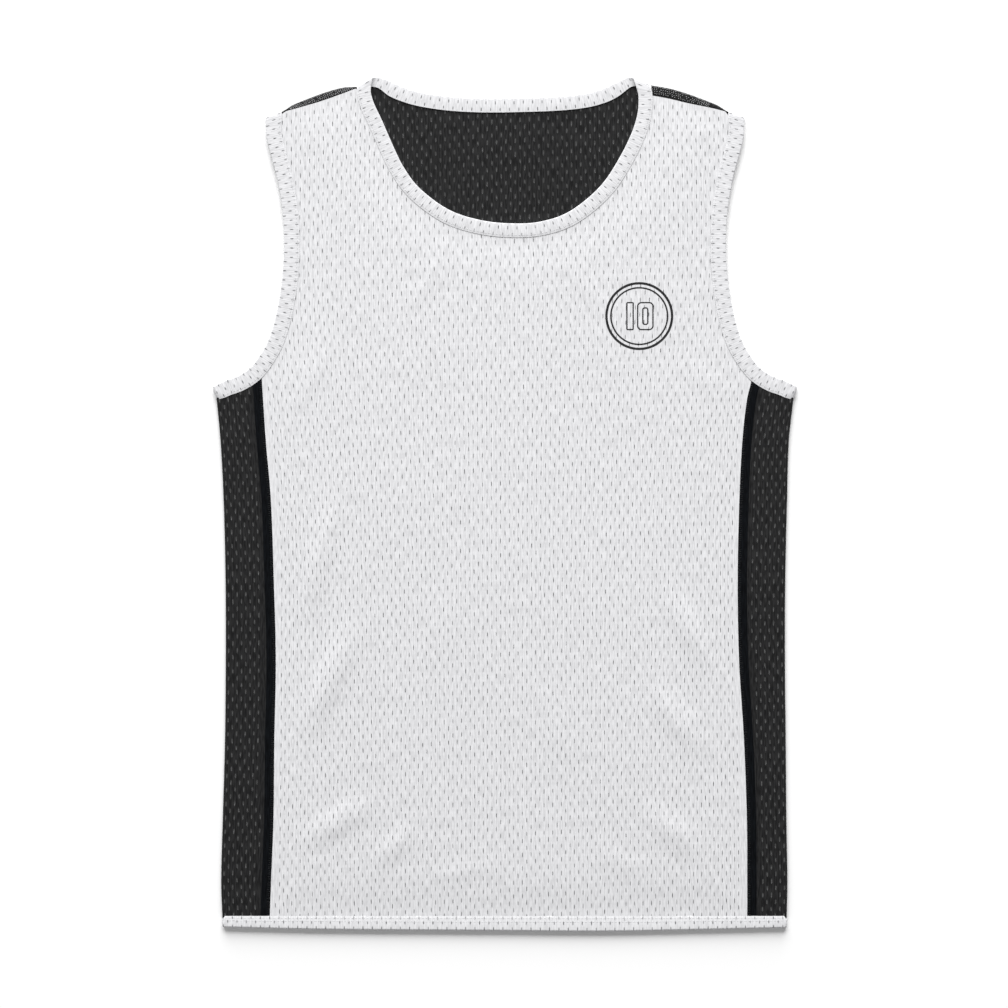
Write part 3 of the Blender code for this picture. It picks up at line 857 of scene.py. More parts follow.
def add_threads(name, starts, ends, radius, material, slot):
    """Short threads, each a spindle from its start to its end."""
    along = ends - starts
    side = unit(np.cross(along, (0.0, 0.0, 1.0)) + (1e-9, 0.0, 0.0))
    up = unit(np.cross(side, along))
    corners = [(1, 0), (0, 1), (-1, 0), (0, -1)]
    rows = [starts[:, None, :]]
    for share in THREAD_SHOULDERS:
        middle = starts + along * share
        rows.append(np.stack([middle + (side * a + up * b) * radius for a, b in corners], axis=1))
    rows.append(ends[:, None, :])
    points = np.concatenate(rows, axis=1)
    pattern = []
    for k in range(4):
        j = (k + 1) % 4
        pattern += [(0, 1 + k, 1 + j), (1 + k, 5 + k, 5 + j, 1 + j), (5 + k, 9, 5 + j)]
    faces = [tuple(10 * i + k for k in face) for i in range(len(starts)) for face in pattern]
    points = points.reshape(-1, 3)
    uvs = np.zeros((sum(len(face) for face in faces), 2))
    return add_object(name, points, faces, uvs, np.zeros(len(points)), material)


# Finishes


MIX_FACTOR, MIX_ONE, MIX_TWO = 0, 6, 7
MIX_RESULT = 2


class Nodes:
    """Adds nodes to one tree, with their settings and links in one call."""

    def __init__(self, tree):
        self.tree = tree

    def add(self, kind, inputs=(), **settings):
        node = self.tree.nodes.new(kind)
        for key, value in settings.items():
            setattr(node, key, value)
        for key, value in dict(inputs).items():
            if isinstance(value, bpy.types.NodeSocket):
                self.tree.links.new(value, node.inputs[key])
            else:
                node.inputs[key].default_value = value
        return node

    def math(self, operation, *values):
        return self.add("ShaderNodeMath", dict(enumerate(values)), operation=operation).outputs[0]

    def vector(self, operation, *values):
        return self.add("ShaderNodeVectorMath", dict(enumerate(values)), operation=operation).outputs[0]

    def ramp(self, value, low, high, to_low=0.0, to_high=1.0):
        inputs = {"Value": value, "From Min": low, "From Max": high, "To Min": to_low, "To Max": to_high}
        return self.add("ShaderNodeMapRange", inputs, interpolation_type="SMOOTHSTEP").outputs["Result"]

    def mix(self, factor, one, two):
        """A colour mix, with its sockets by number, as those for numbers have the same names."""
        inputs = {MIX_FACTOR: factor, MIX_ONE: one, MIX_TWO: two}
        return self.add("ShaderNodeMix", inputs, data_type="RGBA").outputs[MIX_RESULT]


def new_group(name, inputs, outputs):
    """An empty shader group with named sockets: (nodes, its inputs, its output node)."""
    tree = bpy.data.node_groups.new(name, "ShaderNodeTree")
    for way, sockets in (("INPUT", inputs), ("OUTPUT", outputs)):
        for label, kind in sockets.items():
            tree.interface.new_socket(name=label, in_out=way, socket_type=f"NodeSocket{kind}")
    nodes = Nodes(tree)
    return nodes, nodes.add("NodeGroupInput").outputs, nodes.add("NodeGroupOutput").inputs


# The knit's pattern: how closely its streaks and patches lie, and how far the wales wander with the streaks
STREAKS = (760.0, 100.0, 1.0)
STREAK_RANGE = (0.3, 0.7)
PATCH_SCALE = 14.0
WANDER = 5.0
COURSE_PITCH = 0.0012

# How much each of these darkens the thread, as painted shade where the wales sink and as random tone in the
# patches, and how high it stands
WALE_SHADE = 0.12
PATCH_SHADE = 0.2
WALE_HEIGHT = 0.5
STREAK_HEIGHT = 1.6
COURSE_HEIGHT = 0.15


@functools.cache
def knit_group():
    """Knitted cloth: soft streaks along its columns, fine wales and courses, painted shade in its low places,
    and painted shade and light at its slits.
    """
    inputs = {
        "Place": "Vector",
        "Near slit": "Float",
        "Thread": "Color",
        "Hollow": "Color",
        "Slit edge": "Color",
        "Slit shade": "Float",
        "Shade start": "Float",
        "Wale width": "Float",
    }
    n, given, out = new_group("Knit", inputs, {"Color": "Color", "Height": "Float", "Shade": "Float"})
    wide = n.vector("MULTIPLY", given["Place"], STREAKS)
    streaks = n.add("ShaderNodeTexNoise", {"Vector": wide, "Scale": 1.0, "Detail": 2.0}).outputs["Fac"]
    patches = {"Vector": given["Place"], "Scale": PATCH_SCALE, "Detail": 3.0}
    patches = n.add("ShaderNodeTexNoise", patches).outputs["Fac"]
    parts = n.add("ShaderNodeSeparateXYZ", {"Vector": given["Place"]}).outputs
    wander = n.math("MULTIPLY", streaks, WANDER)
    turns = n.math("DIVIDE", n.math("MULTIPLY", parts["X"], math.tau), given["Wale width"])
    wales = n.math("SINE", n.math("ADD", turns, wander))
    courses = n.math("SINE", n.math("MULTIPLY", parts["Y"], math.tau / COURSE_PITCH))
    # The thread darkens towards the low colour where the streaks and wales sink, a painted shade, and at
    # random in the patches
    shade = n.math("ADD", n.ramp(streaks, *STREAK_RANGE), n.math("MULTIPLY", wales, WALE_SHADE))
    shade = n.math("ADD", shade, n.math("MULTIPLY", n.math("SUBTRACT", patches, 0.5), PATCH_SHADE))
    shade = n.math("MINIMUM", n.math("MAXIMUM", shade, 0.0), 1.0)
    height = n.math("MULTIPLY", wales, WALE_HEIGHT)
    height = n.math("ADD", height, n.math("MULTIPLY", streaks, STREAK_HEIGHT))
    height = n.math("ADD", height, n.math("MULTIPLY", courses, COURSE_HEIGHT))
    colour = n.mix(shade, given["Hollow"], given["Thread"])
    # A halo beside each slit: painted shade on white cloth, and painted light of the white ply beneath on
    # black cloth
    slit_painted_mask = n.math("MULTIPLY", n.ramp(given["Near slit"], given["Shade start"], 1.0), given["Slit shade"])
    n.tree.links.new(n.mix(slit_painted_mask, colour, given["Slit edge"]), out["Color"])
    n.tree.links.new(height, out["Height"])
    n.tree.links.new(shade, out["Shade"])
    return n.tree


def new_material(name):
    """A material with a bare shader: (material, nodes, shader)."""
    material = bpy.data.materials.new(name)
    material.use_nodes = True
    return material, Nodes(material.node_tree), material.node_tree.nodes["Principled BSDF"]


# A cloth's thread colour, its low colour of painted shade and random tone, its slit halo colour of painted
# shade and light, and that halo's strength and start, then its knit and surface
CLOTH = "thread hollow slit_edge slit_shade shade_start wale bump roughness specular sheen"
Cloth = namedtuple("Cloth", CLOTH)
# On white cloth the slit halo is painted shade
WHITE_KNIT = Cloth(
    thread=(0.752, 0.752, 0.768),
    hollow=(0.6, 0.6, 0.614),
    slit_edge=(0.2, 0.2, 0.21),
    slit_shade=0.42,
    shade_start=0.84,
    wale=0.0021,
    bump=0.25,
    roughness=0.72,
    specular=0.25,
    sheen=0.12,
)
# On black cloth the slit halo is painted light from the white ply beneath
BLACK_KNIT = Cloth(
    thread=(0.0212, 0.0212, 0.0216),
    hollow=(0.0055, 0.0055, 0.0058),
    slit_edge=(0.085, 0.085, 0.085),
    slit_shade=0.85,
    shade_start=0.76,
    wale=0.0021,
    bump=0.25,
    roughness=0.66,
    specular=0.12,
    sheen=0.03,
)
# The bindings' slit halo, a painted shade, is stronger
BINDING_KNIT = WHITE_KNIT._replace(wale=0.0016, bump=0.12, slit_shade=0.55)
PLAIN_BLACK = BLACK_KNIT._replace(slit_shade=0.0)
CLOTHS = {
    "white": WHITE_KNIT,
    "front": WHITE_KNIT,
    "binding": BINDING_KNIT,
    "hem": BINDING_KNIT._replace(thread=(0.785, 0.785, 0.8), hollow=(0.66, 0.66, 0.674)),
    "black": BLACK_KNIT,
    "strip": PLAIN_BLACK._replace(wale=0.0013, bump=0.6),
    "allowance": PLAIN_BLACK._replace(
        thread=(0.0039, 0.005, 0.0066), hollow=(0.0009, 0.0012, 0.0018), specular=0.05
    ),
}


ROUGHNESS_SPREAD = 0.06
YARN_HEIGHT = 0.0002
SHEEN_ROUGHNESS = 0.5


def knit_material(name, cloth, ink=None):
    """Knitted cloth of one colour, with painted shade and light from the knit, and an optional print."""
    material, n, shader = new_material(name)
    where = n.add("ShaderNodeUVMap", uv_map="knit").outputs["UV"]
    slit = n.add("ShaderNodeAttribute", attribute_name="near_slit").outputs["Fac"]
    inputs = {
        "Place": where,
        "Near slit": slit,
        "Thread": (*cloth.thread, 1.0),
        "Hollow": (*cloth.hollow, 1.0),
        "Slit edge": (*cloth.slit_edge, 1.0),
        "Slit shade": cloth.slit_shade,
        "Shade start": cloth.shade_start,
        "Wale width": cloth.wale,
    }
    group = n.add("ShaderNodeGroup", inputs, node_tree=knit_group())
    colour = group.outputs["Color"]
    if ink:
        colour = n.mix(chest_print(n, where), colour, (*ink, 1.0))
    n.tree.links.new(colour, shader.inputs["Base Color"])
    rough = (cloth.roughness + ROUGHNESS_SPREAD, cloth.roughness - ROUGHNESS_SPREAD)
    rough = n.ramp(group.outputs["Shade"], 0.0, 1.0, *rough)
    n.tree.links.new(rough, shader.inputs["Roughness"])
    relief = {"Height": group.outputs["Height"], "Strength": cloth.bump, "Distance": YARN_HEIGHT}
    n.tree.links.new(n.add("ShaderNodeBump", relief).outputs["Normal"], shader.inputs["Normal"])
    shader.inputs["Specular IOR Level"].default_value = cloth.specular
    shader.inputs["Sheen Weight"].default_value = cloth.sheen
    shader.inputs["Sheen Roughness"].default_value = SHEEN_ROUGHNESS
    return material


PRINT = Place(119.5, 167.7)
PRINT_RINGS = ((29.2, 2.2), (25.2, 1.5))
PRINT_LINE = 1.25
PRINT_BLUR = 0.15

Bar = namedtuple("Bar", "x width height round")
PRINT_BARS = (Bar(-8.2, 5.6, 24.0, 0.8), Bar(5.4, 13.6, 24.0, 3.4), Bar(5.4, 4.4, 14.6, 1.6))


def chest_print(n, where):
    """A mask of the print on the chest: two plain rings round an outlined number ten."""
    centre = (PRINT.x * MM, PRINT.y * MM, 0.0)
    at = n.vector("MULTIPLY", n.vector("SUBTRACT", where, centre), (1 / MM, 1 / MM, 0.0))
    length = n.add("ShaderNodeVectorMath", {0: at}, operation="LENGTH").outputs["Value"]
    lines = []
    for radius, width in PRINT_RINGS:
        lines.append((n.math("ABSOLUTE", n.math("SUBTRACT", length, radius)), width))
    for bar in PRINT_BARS:
        away = n.vector("ABSOLUTE", n.vector("SUBTRACT", at, (bar.x, 0.0, 0.0)))
        inner = (bar.width / 2 - bar.round, bar.height / 2 - bar.round, 0.0)
        past = n.vector("SUBTRACT", away, inner)
        outside = n.vector("MAXIMUM", past, (0.0, 0.0, 0.0))
        corner = n.add("ShaderNodeVectorMath", {0: outside}, operation="LENGTH").outputs["Value"]
        parts = n.add("ShaderNodeSeparateXYZ", {"Vector": past}).outputs
        within = n.math("MINIMUM", n.math("MAXIMUM", parts["X"], parts["Y"]), 0.0)
        edge = n.math("SUBTRACT", n.math("ADD", corner, within), bar.round)
        lines.append((n.math("ABSOLUTE", edge), PRINT_LINE))
    mask = 0.0
    for distance, width in lines:
        mask = n.math("MAXIMUM", mask, n.ramp(distance, width / 2 + PRINT_BLUR, width / 2 - PRINT_BLUR))
    return mask


THREAD_MOTTLE = 900.0
THREAD_DARKEST = 0.86
THREAD_SPECULAR = 0.2


def thread_material(name, colour, roughness, sheen):
    """Thread of one colour, with a fine mottle."""
    material, n, shader = new_material(name)
    where = n.add("ShaderNodeTexCoord").outputs["Object"]
    noise = {"Vector": where, "Scale": THREAD_MOTTLE, "Detail": 2.0}
    noise = n.add("ShaderNodeTexNoise", noise).outputs["Fac"]
    low = tuple(channel * THREAD_DARKEST for channel in colour)
    n.tree.links.new(n.mix(noise, (*low, 1.0), (*colour, 1.0)), shader.inputs["Base Color"])
    shader.inputs["Roughness"].default_value = roughness
    shader.inputs["Specular IOR Level"].default_value = THREAD_SPECULAR
    shader.inputs["Sheen Weight"].default_value = sheen
    return material


INK = (0.012, 0.012, 0.013)

# Each thread's colour, roughness and sheen
THREADS = {
    "white_thread": ((0.6, 0.6, 0.615), 0.6, 0.1),
    "black_thread": ((0.009, 0.0095, 0.0105), 0.5, 0.02),
    "serging_thread": ((0.46, 0.46, 0.47), 0.5, 0.1),
}


@functools.cache
def finish(name):
    """One of the finishes, made when it is first called for."""
    if name in THREADS:
        return thread_material(name.replace("_", " ").capitalize(), *THREADS[name])
    return knit_material(f"{name.capitalize()} knit", CLOTHS[name], INK if name == "front" else None)


# Panels


def panel_cells(rim, lattice):
    """The cells of the knit that an outline touches."""
    cells = brick_cells(KNIT_COLUMNS, KNIT_ROWS)
    flat = lattice(*cells.T)
    low, high = rim.min(axis=0) - SIDE_COLUMN, rim.max(axis=0) + SIDE_COLUMN
    return cells[((flat > low) & (flat < high)).all(axis=1)]


def beside_seams(margin):
    """Whether a point of a panel is within a margin of a side seam."""

    def test(flat):
        x, y = flat.T
        y = np.clip(y, HEM_SEAM, SIDES[0].y)
        return (x > seam_x(1, y) - margin) | (x < seam_x(-1, y) + margin)

    return test


# Share is how much of the folds' height a panel takes. The back's knit is mirrored, as it faces down.
Panel = namedtuple("Panel", "name shoulder neck level folds share finish mirror slip seed")
PANELS = (
    Panel("front", "front", FRONT_NECK, FRONT_LEVEL,
          FOLDS + CREASES, 1.0, "front", 1, (0.0, 0.0), 1),
    Panel("front_lining", "lining", FRONT_NECK, FRONT_LINING_LEVEL,
          FOLDS + CREASES, LINING_FULLNESS, "black", 1, (0.27, 0.4), 2),
    Panel("back_lining", "lining", BACK_NECK, BACK_LINING_LEVEL,
          BACK_FOLDS, BACK_LINING_FULLNESS, "black", 1, (0.1, 0.3), 3),
    Panel("back", "back", BACK_NECK, BACK_LEVEL,
          BACK_FOLDS, BACK_FULLNESS, "white", -1, (0.4, 0.1), 4),
)


def add_panel(panel):
    rim = outline(panel.shoulder, panel.neck, TUCK)
    seams = outline(panel.shoulder, panel.neck, 0.0)
    lattice = panel_lattice(panel.mirror, panel.slip)
    slot, slit = ("black_mesh", BLACK_SLIT) if panel.finish == "black" else ("white_mesh", WHITE_SLIT)

    def shape(flat):
        return np.column_stack([flat, panel.level + fullness(flat, seams, panel.folds, panel.share)])

    cells, no_slit = panel_cells(rim, lattice), beside_seams(FRONT_MARGIN)
    sheet = knit(lattice, cells, slit, panel.seed, rim, no_slit=no_slit)
    piece = add_sheet(panel.name + "_cloth", sheet, shape, finish(panel.finish))
    declare_cut(panel.name, rim)


# Side panels


def side_plan(side, radius, tuck):
    """A side panel's outline in its unfolded plan, anticlockwise from the foot of its front seam."""
    around = math.pi * radius
    low = HEM_SEAM - tuck
    over = armhole_run(side, underarm_u(side), OVER_STOP, ARMHOLE_BINDING - tuck, 14)[0]
    over = over[(fold_x(side, over[:, 1]) - over[:, 0]) * side > FOLD_GAP]
    fold_seam, fold_edge, _ = fold_frame(UNDERARM_TURN, side)
    top = fold_seam + unit(fold_edge - fold_seam) * tuck
    y = np.linspace(low, over[0][1], 90)[:-1]
    reach = (fold_x(side, y) - seam_x(side, np.maximum(y, HEM_SEAM))) * side
    front_seam = np.column_stack([-reach, y])
    over = np.column_stack([(over[:, 0] - fold_x(side, over[:, 1])) * side, over[:, 1]])
    front = np.vstack([front_seam, over, [(0.0, top[1])]])
    back = np.column_stack([around - front[:, 0], front[:, 1]])
    return resample(np.vstack([back, front[::-1], back[:1]]), RIM_STEP)[:-1]


def add_side(side, name, radius, colour, seed):
    rim = side_plan(side, radius, TUCK)
    around = math.pi * radius

    def lattice(c, r):
        u = np.asarray(c, float) * SIDE_COLUMN + around / 2
        return np.column_stack([u, np.asarray(r, float) * SIDE_ROW + SIDE_LEAN * (u - around / 2) * side])

    def beside_seam(flat):
        u, y = flat.T
        y = np.maximum(y, HEM_SEAM)
        reach = (fold_x(side, y) - seam_x(side, y)) * side
        return (u < SIDE_MARGIN - reach) | (u > around + reach - SIDE_MARGIN)

    cells = brick_cells(SIDE_COLUMNS, SIDE_ROWS)
    sheet = knit(lattice, cells, BLACK_SLIT, seed, rim, no_slit=beside_seam)
    for spread in SIDE_SPLITS:
        sheet.split(lambda middle: np.abs(middle[:, 0] - around / 2) < around / 2 + spread)
    shape = side_shape(side, radius)
    piece = add_sheet(name + "_cloth", sheet, shape, finish(colour), flip=side < 0)
    declare_cut(name, rim)


# The allowance's section: how far across it, and how far up
ALLOWANCE_ROWS = ((-0.04, -0.1), (0.05, 0.16), (0.5, 0.2), (0.9, 0.12), (1.0, -0.08))
ALLOWANCE_LIFT = 0.06


def add_allowance(side, name):
    """The dark turned-in edge that shows beside a side seam, on the front and on the back."""
    y = np.linspace(underarm(side)[1] + 2.0, HEM_SEAM - 2.0, 120)
    seam = seam_x(side, y)
    made = []
    for face, out in (("front", 1), ("back", -1)):
        level = MIDDLE + out * (OUTER_RADIUS + ALLOWANCE_LIFT)
        rows = []
        for share, rise in ALLOWANCE_ROWS:
            x = seam + side * share * ALLOWANCE
            rows.append(np.column_stack([x, y, np.full(len(y), level + out * rise)]))
        points = np.stack(rows, axis=1)
        if side * out > 0:
            points = points[:, ::-1]
        label = f"seam_allowance_{face}_{name}"
        made.append(add_grid(label, points, points[:, :, :2], finish("allowance")))
    return made


# Bindings

# Width, rows across, how far the middle row lies over the edge, and how deep the edge's round is
Cut = namedtuple("Cut", "width rows shift edge_depth")
NECK_CUT = Cut(NECK_BINDING, 4, 0.0, 0.15)
ARMHOLE_CUT = Cut(ARMHOLE_BINDING, 5, 2.2, 0.6)
HEM_CUT = Cut(HEM_BAND, 5, 2.2, 1.0)
ROW_SPREAD = 0.75
TOP_DEPTH = 0.9


def binding_lattice(columns, length, cut):
    """A binding's knit: columns along it, and rows across it."""

    def lattice(c, r):
        share = (np.asarray(r, float) + 0.5) / cut.rows * 2 - 1
        spread = share if cut.shift else np.sign(share) * np.abs(share) ** ROW_SPREAD
        u = np.asarray(c, float) * length / columns
        return np.column_stack([u, spread * cut.width + cut.shift * (1 - share**2)])

    return lattice


def add_binding(name, band, cut, seed, knit_name="binding", second_row=False):
    """A folded binding, with its stitches near its seam."""
    columns = int(round(band.length / BINDING_COLUMN))
    lattice = binding_lattice(columns, band.length, cut)
    sheet = knit(lattice, brick_cells(range(columns), range(cut.rows)), BINDING_SLIT, seed, around=columns)
    sheet.split()
    for reach in BINDING_SPLITS:
        sheet.split(lambda middle: np.abs(middle[:, 1]) < reach)
    shape = ring_shape(band, cut)
    flip = not faces_up(sheet, shape)
    piece = add_sheet(name + "_cloth", sheet, shape, finish(knit_name), flip)
    threads = [add_binding_stitches(f"{name}_stitches", band, cut.width - STITCH_INSET, shape)]
    if second_row:
        threads.append(add_binding_stitches(f"{name}_second_stitches", band, cut.width * SECOND_ROW, shape))
    flat = (2 * cut.width, band.length)
    declare(name, flat[0] * flat[1])


def faces_up(sheet, shape):
    """Whether the faces on top of a sheet look up."""
    points = shape(np.vstack(sheet.flat))
    high = points[:, 2].max() - TOP_DEPTH
    total = 0.0
    for face in sheet.faces[::5]:
        a, b, c = points[face[0]], points[face[1]], points[face[2]]
        if min(a[2], b[2], c[2]) > high:
            total += np.cross(b - a, c - a)[2]
    return total > 0


STITCH_PITCH = 3.3
STITCH_LENGTH = 2.5
STITCH_INSET = 1.9
STITCH_RADIUS = 0.15
SECOND_ROW = 0.62


def add_binding_stitches(name, band, v, shape):
    """A row of stitches along a binding, at this distance from its finished edge."""
    u = np.arange(0.0, band.length, STITCH_PITCH)
    ends = [np.column_stack([u + step, np.full(len(u), v)]) for step in (0.0, STITCH_LENGTH)]
    starts, ends = (shape(flat) for flat in ends)
    return add_threads(name, starts, ends, STITCH_RADIUS, finish("white_thread"), "white_binding")


def neck_ring():
    front = neck_edge(FRONT_NECK, NECK_BINDING)
    seam, edge = neck_edge(BACK_NECK, NECK_BINDING)
    along = np.linspace(0.0, 1.0, len(seam))[:, None]
    narrow = NECK_END + (1 - NECK_END) * ease(np.minimum(along, 1 - along) / TAPER)
    back = [(edge + (seam - edge) * narrow)[::-1], edge[::-1]]
    return ring(front, back, fold_frame(NECK_TURNS[1]), fold_frame(NECK_TURNS[-1]), NECK_REAR)


def armhole_ring(side):
    run = armhole_run(side, ARMHOLE_START, ARMHOLE_STOP, ARMHOLE_BINDING, 90)
    back = [line[::-1] for line in run]
    return ring(run, back, fold_frame(UNDERARM_TURN, side), fold_frame(SHOULDER_TURN, side))


def hem_ring():
    ends = [float(fold_x(side, HEM_SEAM)) for side in (-1, 1)]
    x = np.linspace(*ends, 70)
    depth = table_curve(HEM, "x", "depth", x)
    run = (np.column_stack([x, np.full(len(x), HEM_SEAM)]), np.column_stack([x, HEM_SEAM - depth]))
    inner = [line[1:-1] for line in run]
    back = [line[::-1] for line in inner]
    left = (run[0][0], run[1][0], np.array((-1.0, 0.0)))
    right = (run[0][-1], run[1][-1], np.array((1.0, 0.0)))
    return ring(inner, back, right, left)


# Shoulder strips


def strip_taper(side, count):
    """How full a strip's fold is at each place along it, from its armhole to its neck."""
    along = np.linspace(*STRIP_RUN, count)[:, None]
    full = STRIP_END + (1 - STRIP_END) * ease(along / TAPER)
    return full * (1 if side > 0 else STRIP_END + (1 - STRIP_END) * ease((1 - along) / TAPER))


def round_strip(plan, out, turn, rise):
    """Places this far round a strip's fold and this far off its form."""
    radius = STRIP_RADIUS + rise
    plan = plan + out * radius * math.sin(turn)
    return np.column_stack([plan, np.full(len(plan), MIDDLE + radius * math.cos(turn))])


def add_shoulder_strip(side, name):
    """A strip folded over one shoulder, with the threads that serge it."""
    front, centre, back, out = shoulder_lines(side)
    out = out * strip_taper(side, len(out))
    turns = np.linspace(0.0, math.pi, 9)
    columns = [(front - out * STRIP_OVERLAP, 0.0, -STRIP_SINK), (front, 0.0, 0.0)]
    columns.append(((front + centre) / 2, 0.0, STRIP_SWELL))
    columns += [(centre, turn, 0.0) for turn in turns]
    columns.append((back, math.pi, 0.0))
    points = np.stack([round_strip(plan, out, turn, rise) for plan, turn, rise in columns], axis=1)
    runs = np.cumsum(np.linalg.norm(np.diff(points, axis=1, prepend=points[:, :1]), axis=2), axis=1)
    along = distances(centre)
    uvs = np.stack([np.broadcast_to(along[:, None], runs.shape), runs], axis=2)
    if side < 0:
        points, uvs = points[:, ::-1], uvs[:, ::-1]
    piece = add_grid(f"shoulder_strip_{name}_cloth", points, uvs, finish("strip"))
    area = float(np.trapz(runs[:, -1], along))
    threads = add_serging(side, name, front, centre, out)
    declare(f"shoulder_strip_{name}", area)


# Where along each strip the net shows, and the share of its dashes that do
Serging = namedtuple("Serging", "side low high share")
SERGING = (Serging(-1, 0.12, 0.92, 0.85), Serging(1, 0.25, 1.0, 0.85))

# The ribs: where across the strip each starts, how far round the fold it ends, how far its end may lean,
# and how far off the strip it lies at its start and at its end
RIB_PITCH = 0.95
RIB_RADIUS = 0.28
RIB_START = 0.1
RIB_TURN = 0.9
RIB_LEAN = 0.3
RIB_RISES = (0.1, 0.15)

# The net's rows, each so far across the strip and so far round its fold, and its dashes
NET_PITCH = 1.9
NET_RADIUS = 0.26
NET_REACH = 0.45
NET_RISE = 0.34
NET_DRIFT = 0.15
NET_TILT = 0.35
NET_ROWS = ((0.3, 0.0), (0.55, 0.0), (0.8, 0.0), (1.0, 0.2), (1.0, 0.7))


def add_serging(side, name, front, centre, out):
    """Black ribs across a strip, and the net of pale thread that shows between some of them."""
    chance = np.random.default_rng(40 + side)
    length = np.linalg.norm(centre[-1] - centre[0])

    def along_strip(count, offset):
        at = (np.arange(count) + offset) / count * (len(front) - 1)
        lines = [between(at, np.arange(len(line)), line) for line in (front, centre, out)]
        return at / (len(front) - 1), *lines

    _, near, far, away = along_strip(int(length / RIB_PITCH), 0.5)
    lean = chance.normal(0.0, RIB_LEAN, (len(near), 2))
    starts = round_strip(near + (far - near) * RIB_START, away, 0.0, RIB_RISES[0])
    ends = round_strip(far + lean, away, RIB_TURN, RIB_RISES[1])
    thread = finish("black_thread")
    ribs = add_threads(f"shoulder_ribs_{name}", starts, ends, RIB_RADIUS, thread, "black_strip")

    row = next(s for s in SERGING if s.side == side)
    starts, ends = [], []
    for i, (share, turn) in enumerate(NET_ROWS):
        along, near, far, away = along_strip(int(length / NET_PITCH), 0.5 * (i % 2) + 0.25)
        chosen = (along > row.low) & (along < row.high) & (chance.random(len(along)) < row.share)
        plan = near + (far - near) * share + chance.normal(0.0, NET_DRIFT, near.shape)
        dash = unit(away + chance.normal(0.0, NET_TILT, away.shape)) * NET_REACH
        starts.append(round_strip(plan - dash, away, turn, NET_RISE)[chosen])
        ends.append(round_strip(plan + dash, away, turn, NET_RISE)[chosen])
    lines, thread = (np.vstack(starts), np.vstack(ends)), finish("serging_thread")
    return [ribs, add_threads(f"shoulder_serging_{name}", *lines, NET_RADIUS, thread, "white_binding")]


# Seams


# The overlock's threads: how far each starts inside the seam and ends outside it, how much it drifts and
# slants along the seam, and how far over the front it lies at its start and at its end
OVERLOCK_PITCH = 1.7
OVERLOCK_INSIDE = (0.25, 0.6)
OVERLOCK_OUTSIDE = (2.2, 3.6)
OVERLOCK_DRIFT = 0.2
OVERLOCK_SLANT = 0.5
OVERLOCK_LIFTS = (0.12, 0.37)
OVERLOCK_RADIUS = 0.18


def add_seam_threads(side, name):
    """The overlock's ladder of threads beside a side seam."""
    chance = np.random.default_rng(60 + side)
    y = np.arange(HEM_SEAM + 1.0, underarm(side)[1] - 2.0, OVERLOCK_PITCH)
    y = y + chance.normal(0.0, OVERLOCK_DRIFT, len(y))
    seam = seam_x(side, y)
    inner = seam - side * chance.uniform(*OVERLOCK_INSIDE, len(y))
    outer = seam + side * chance.uniform(*OVERLOCK_OUTSIDE, len(y))
    low, high = (np.full(len(y), FRONT_LEVEL + lift) for lift in OVERLOCK_LIFTS)
    starts = np.column_stack([inner, y, low])
    ends = np.column_stack([outer, y + OVERLOCK_SLANT, high])
    thread = finish("black_thread")
    return add_threads(f"seam_threads_{name}", starts, ends, OVERLOCK_RADIUS, thread, "black_mesh")


# The jersey


for panel in PANELS:
    add_panel(panel)

for side, name in SIDE_NAMES.items():
    panel, lining = f"side_panel_{name}", f"side_lining_{name}"
    trim = [*add_allowance(side, name), add_seam_threads(side, name)]
    add_side(side, panel, OUTER_RADIUS, "black", 10 + side)
    add_side(side, lining, INNER_RADIUS, "white", 20 + side)
    add_shoulder_strip(side, name)
    add_binding(f"armhole_binding_{name}", armhole_ring(side), ARMHOLE_CUT, 30 + side)

add_binding("neck_binding", neck_ring(), NECK_CUT, 50)
add_binding("hem_band", hem_ring(), HEM_CUT, 51, "hem", second_row=True)


# Floor, light and camera


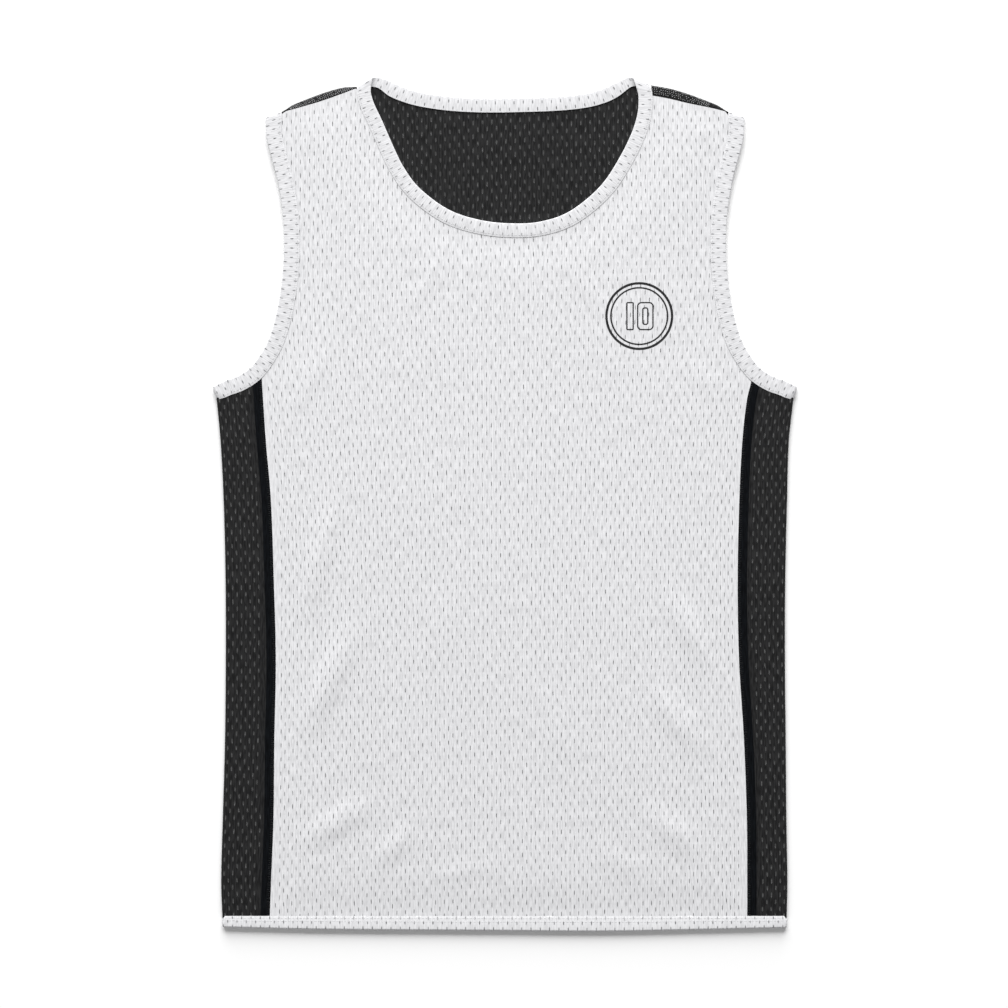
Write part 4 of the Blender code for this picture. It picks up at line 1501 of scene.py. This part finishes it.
VIEW_WIDTH = 899.1
VIEW_MIDDLE = Place(-0.9, -0.4)
LENS = 100.0
SENSOR = 36.0
FLOOR_SIZE = 30.0
FLOOR_COLOUR = (0.95, 0.95, 0.95, 1.0)
WORLD_STRENGTH = 0.31

# The key light, in watts, metres and degrees
KEY_POWER = 2210.0
KEY_SIZE = 8.2
KEY_DISTANCE = 9.0
KEY_ELEVATION = 23.0
KEY_AZIMUTH = -4.0


def add_floor():
    mesh = bpy.data.meshes.new("floor")
    half = FLOOR_SIZE / 2
    corners = [(-half, -half, 0.0), (half, -half, 0.0), (half, half, 0.0), (-half, half, 0.0)]
    mesh.from_pydata(corners, [], [(0, 1, 2, 3)])
    material, _, shader = new_material("Backdrop")
    shader.inputs["Base Color"].default_value = FLOOR_COLOUR
    shader.inputs["Roughness"].default_value = 1.0
    shader.inputs["Specular IOR Level"].default_value = 0.0
    mesh.materials.append(material)
    add_to_scene("floor", mesh)


def add_key():
    """A square soft light aimed at the middle. Its azimuth is from +Y towards +X."""
    light = bpy.data.lights.new("key", "AREA")
    light.shape = "SQUARE"
    light.size = KEY_SIZE
    light.energy = KEY_POWER
    lamp = add_to_scene("key", light)
    high, turn = math.radians(KEY_ELEVATION), math.radians(KEY_AZIMUTH)
    towards = Vector((math.cos(high) * math.sin(turn), math.cos(high) * math.cos(turn), math.sin(high)))
    lamp.location = towards * KEY_DISTANCE
    lamp.rotation_euler = towards.to_track_quat("Z", "Y").to_euler()


def add_world():
    world = bpy.data.worlds.new("studio")
    world.use_nodes = True
    shader = world.node_tree.nodes["Background"]
    shader.inputs["Color"].default_value = (1.0, 1.0, 1.0, 1.0)
    shader.inputs["Strength"].default_value = WORLD_STRENGTH
    bpy.context.scene.world = world


def add_camera():
    data = bpy.data.cameras.new("camera")
    data.lens = LENS
    data.sensor_width = SENSOR
    data.clip_end = 100.0
    camera = add_to_scene("camera", data)
    camera.location = (VIEW_MIDDLE.x * MM, VIEW_MIDDLE.y * MM, VIEW_WIDTH * MM * LENS / SENSOR)
    bpy.context.scene.camera = camera


add_floor()
add_world()
add_key()
add_camera()
bpy.context.scene.view_settings.view_transform = "Standard"
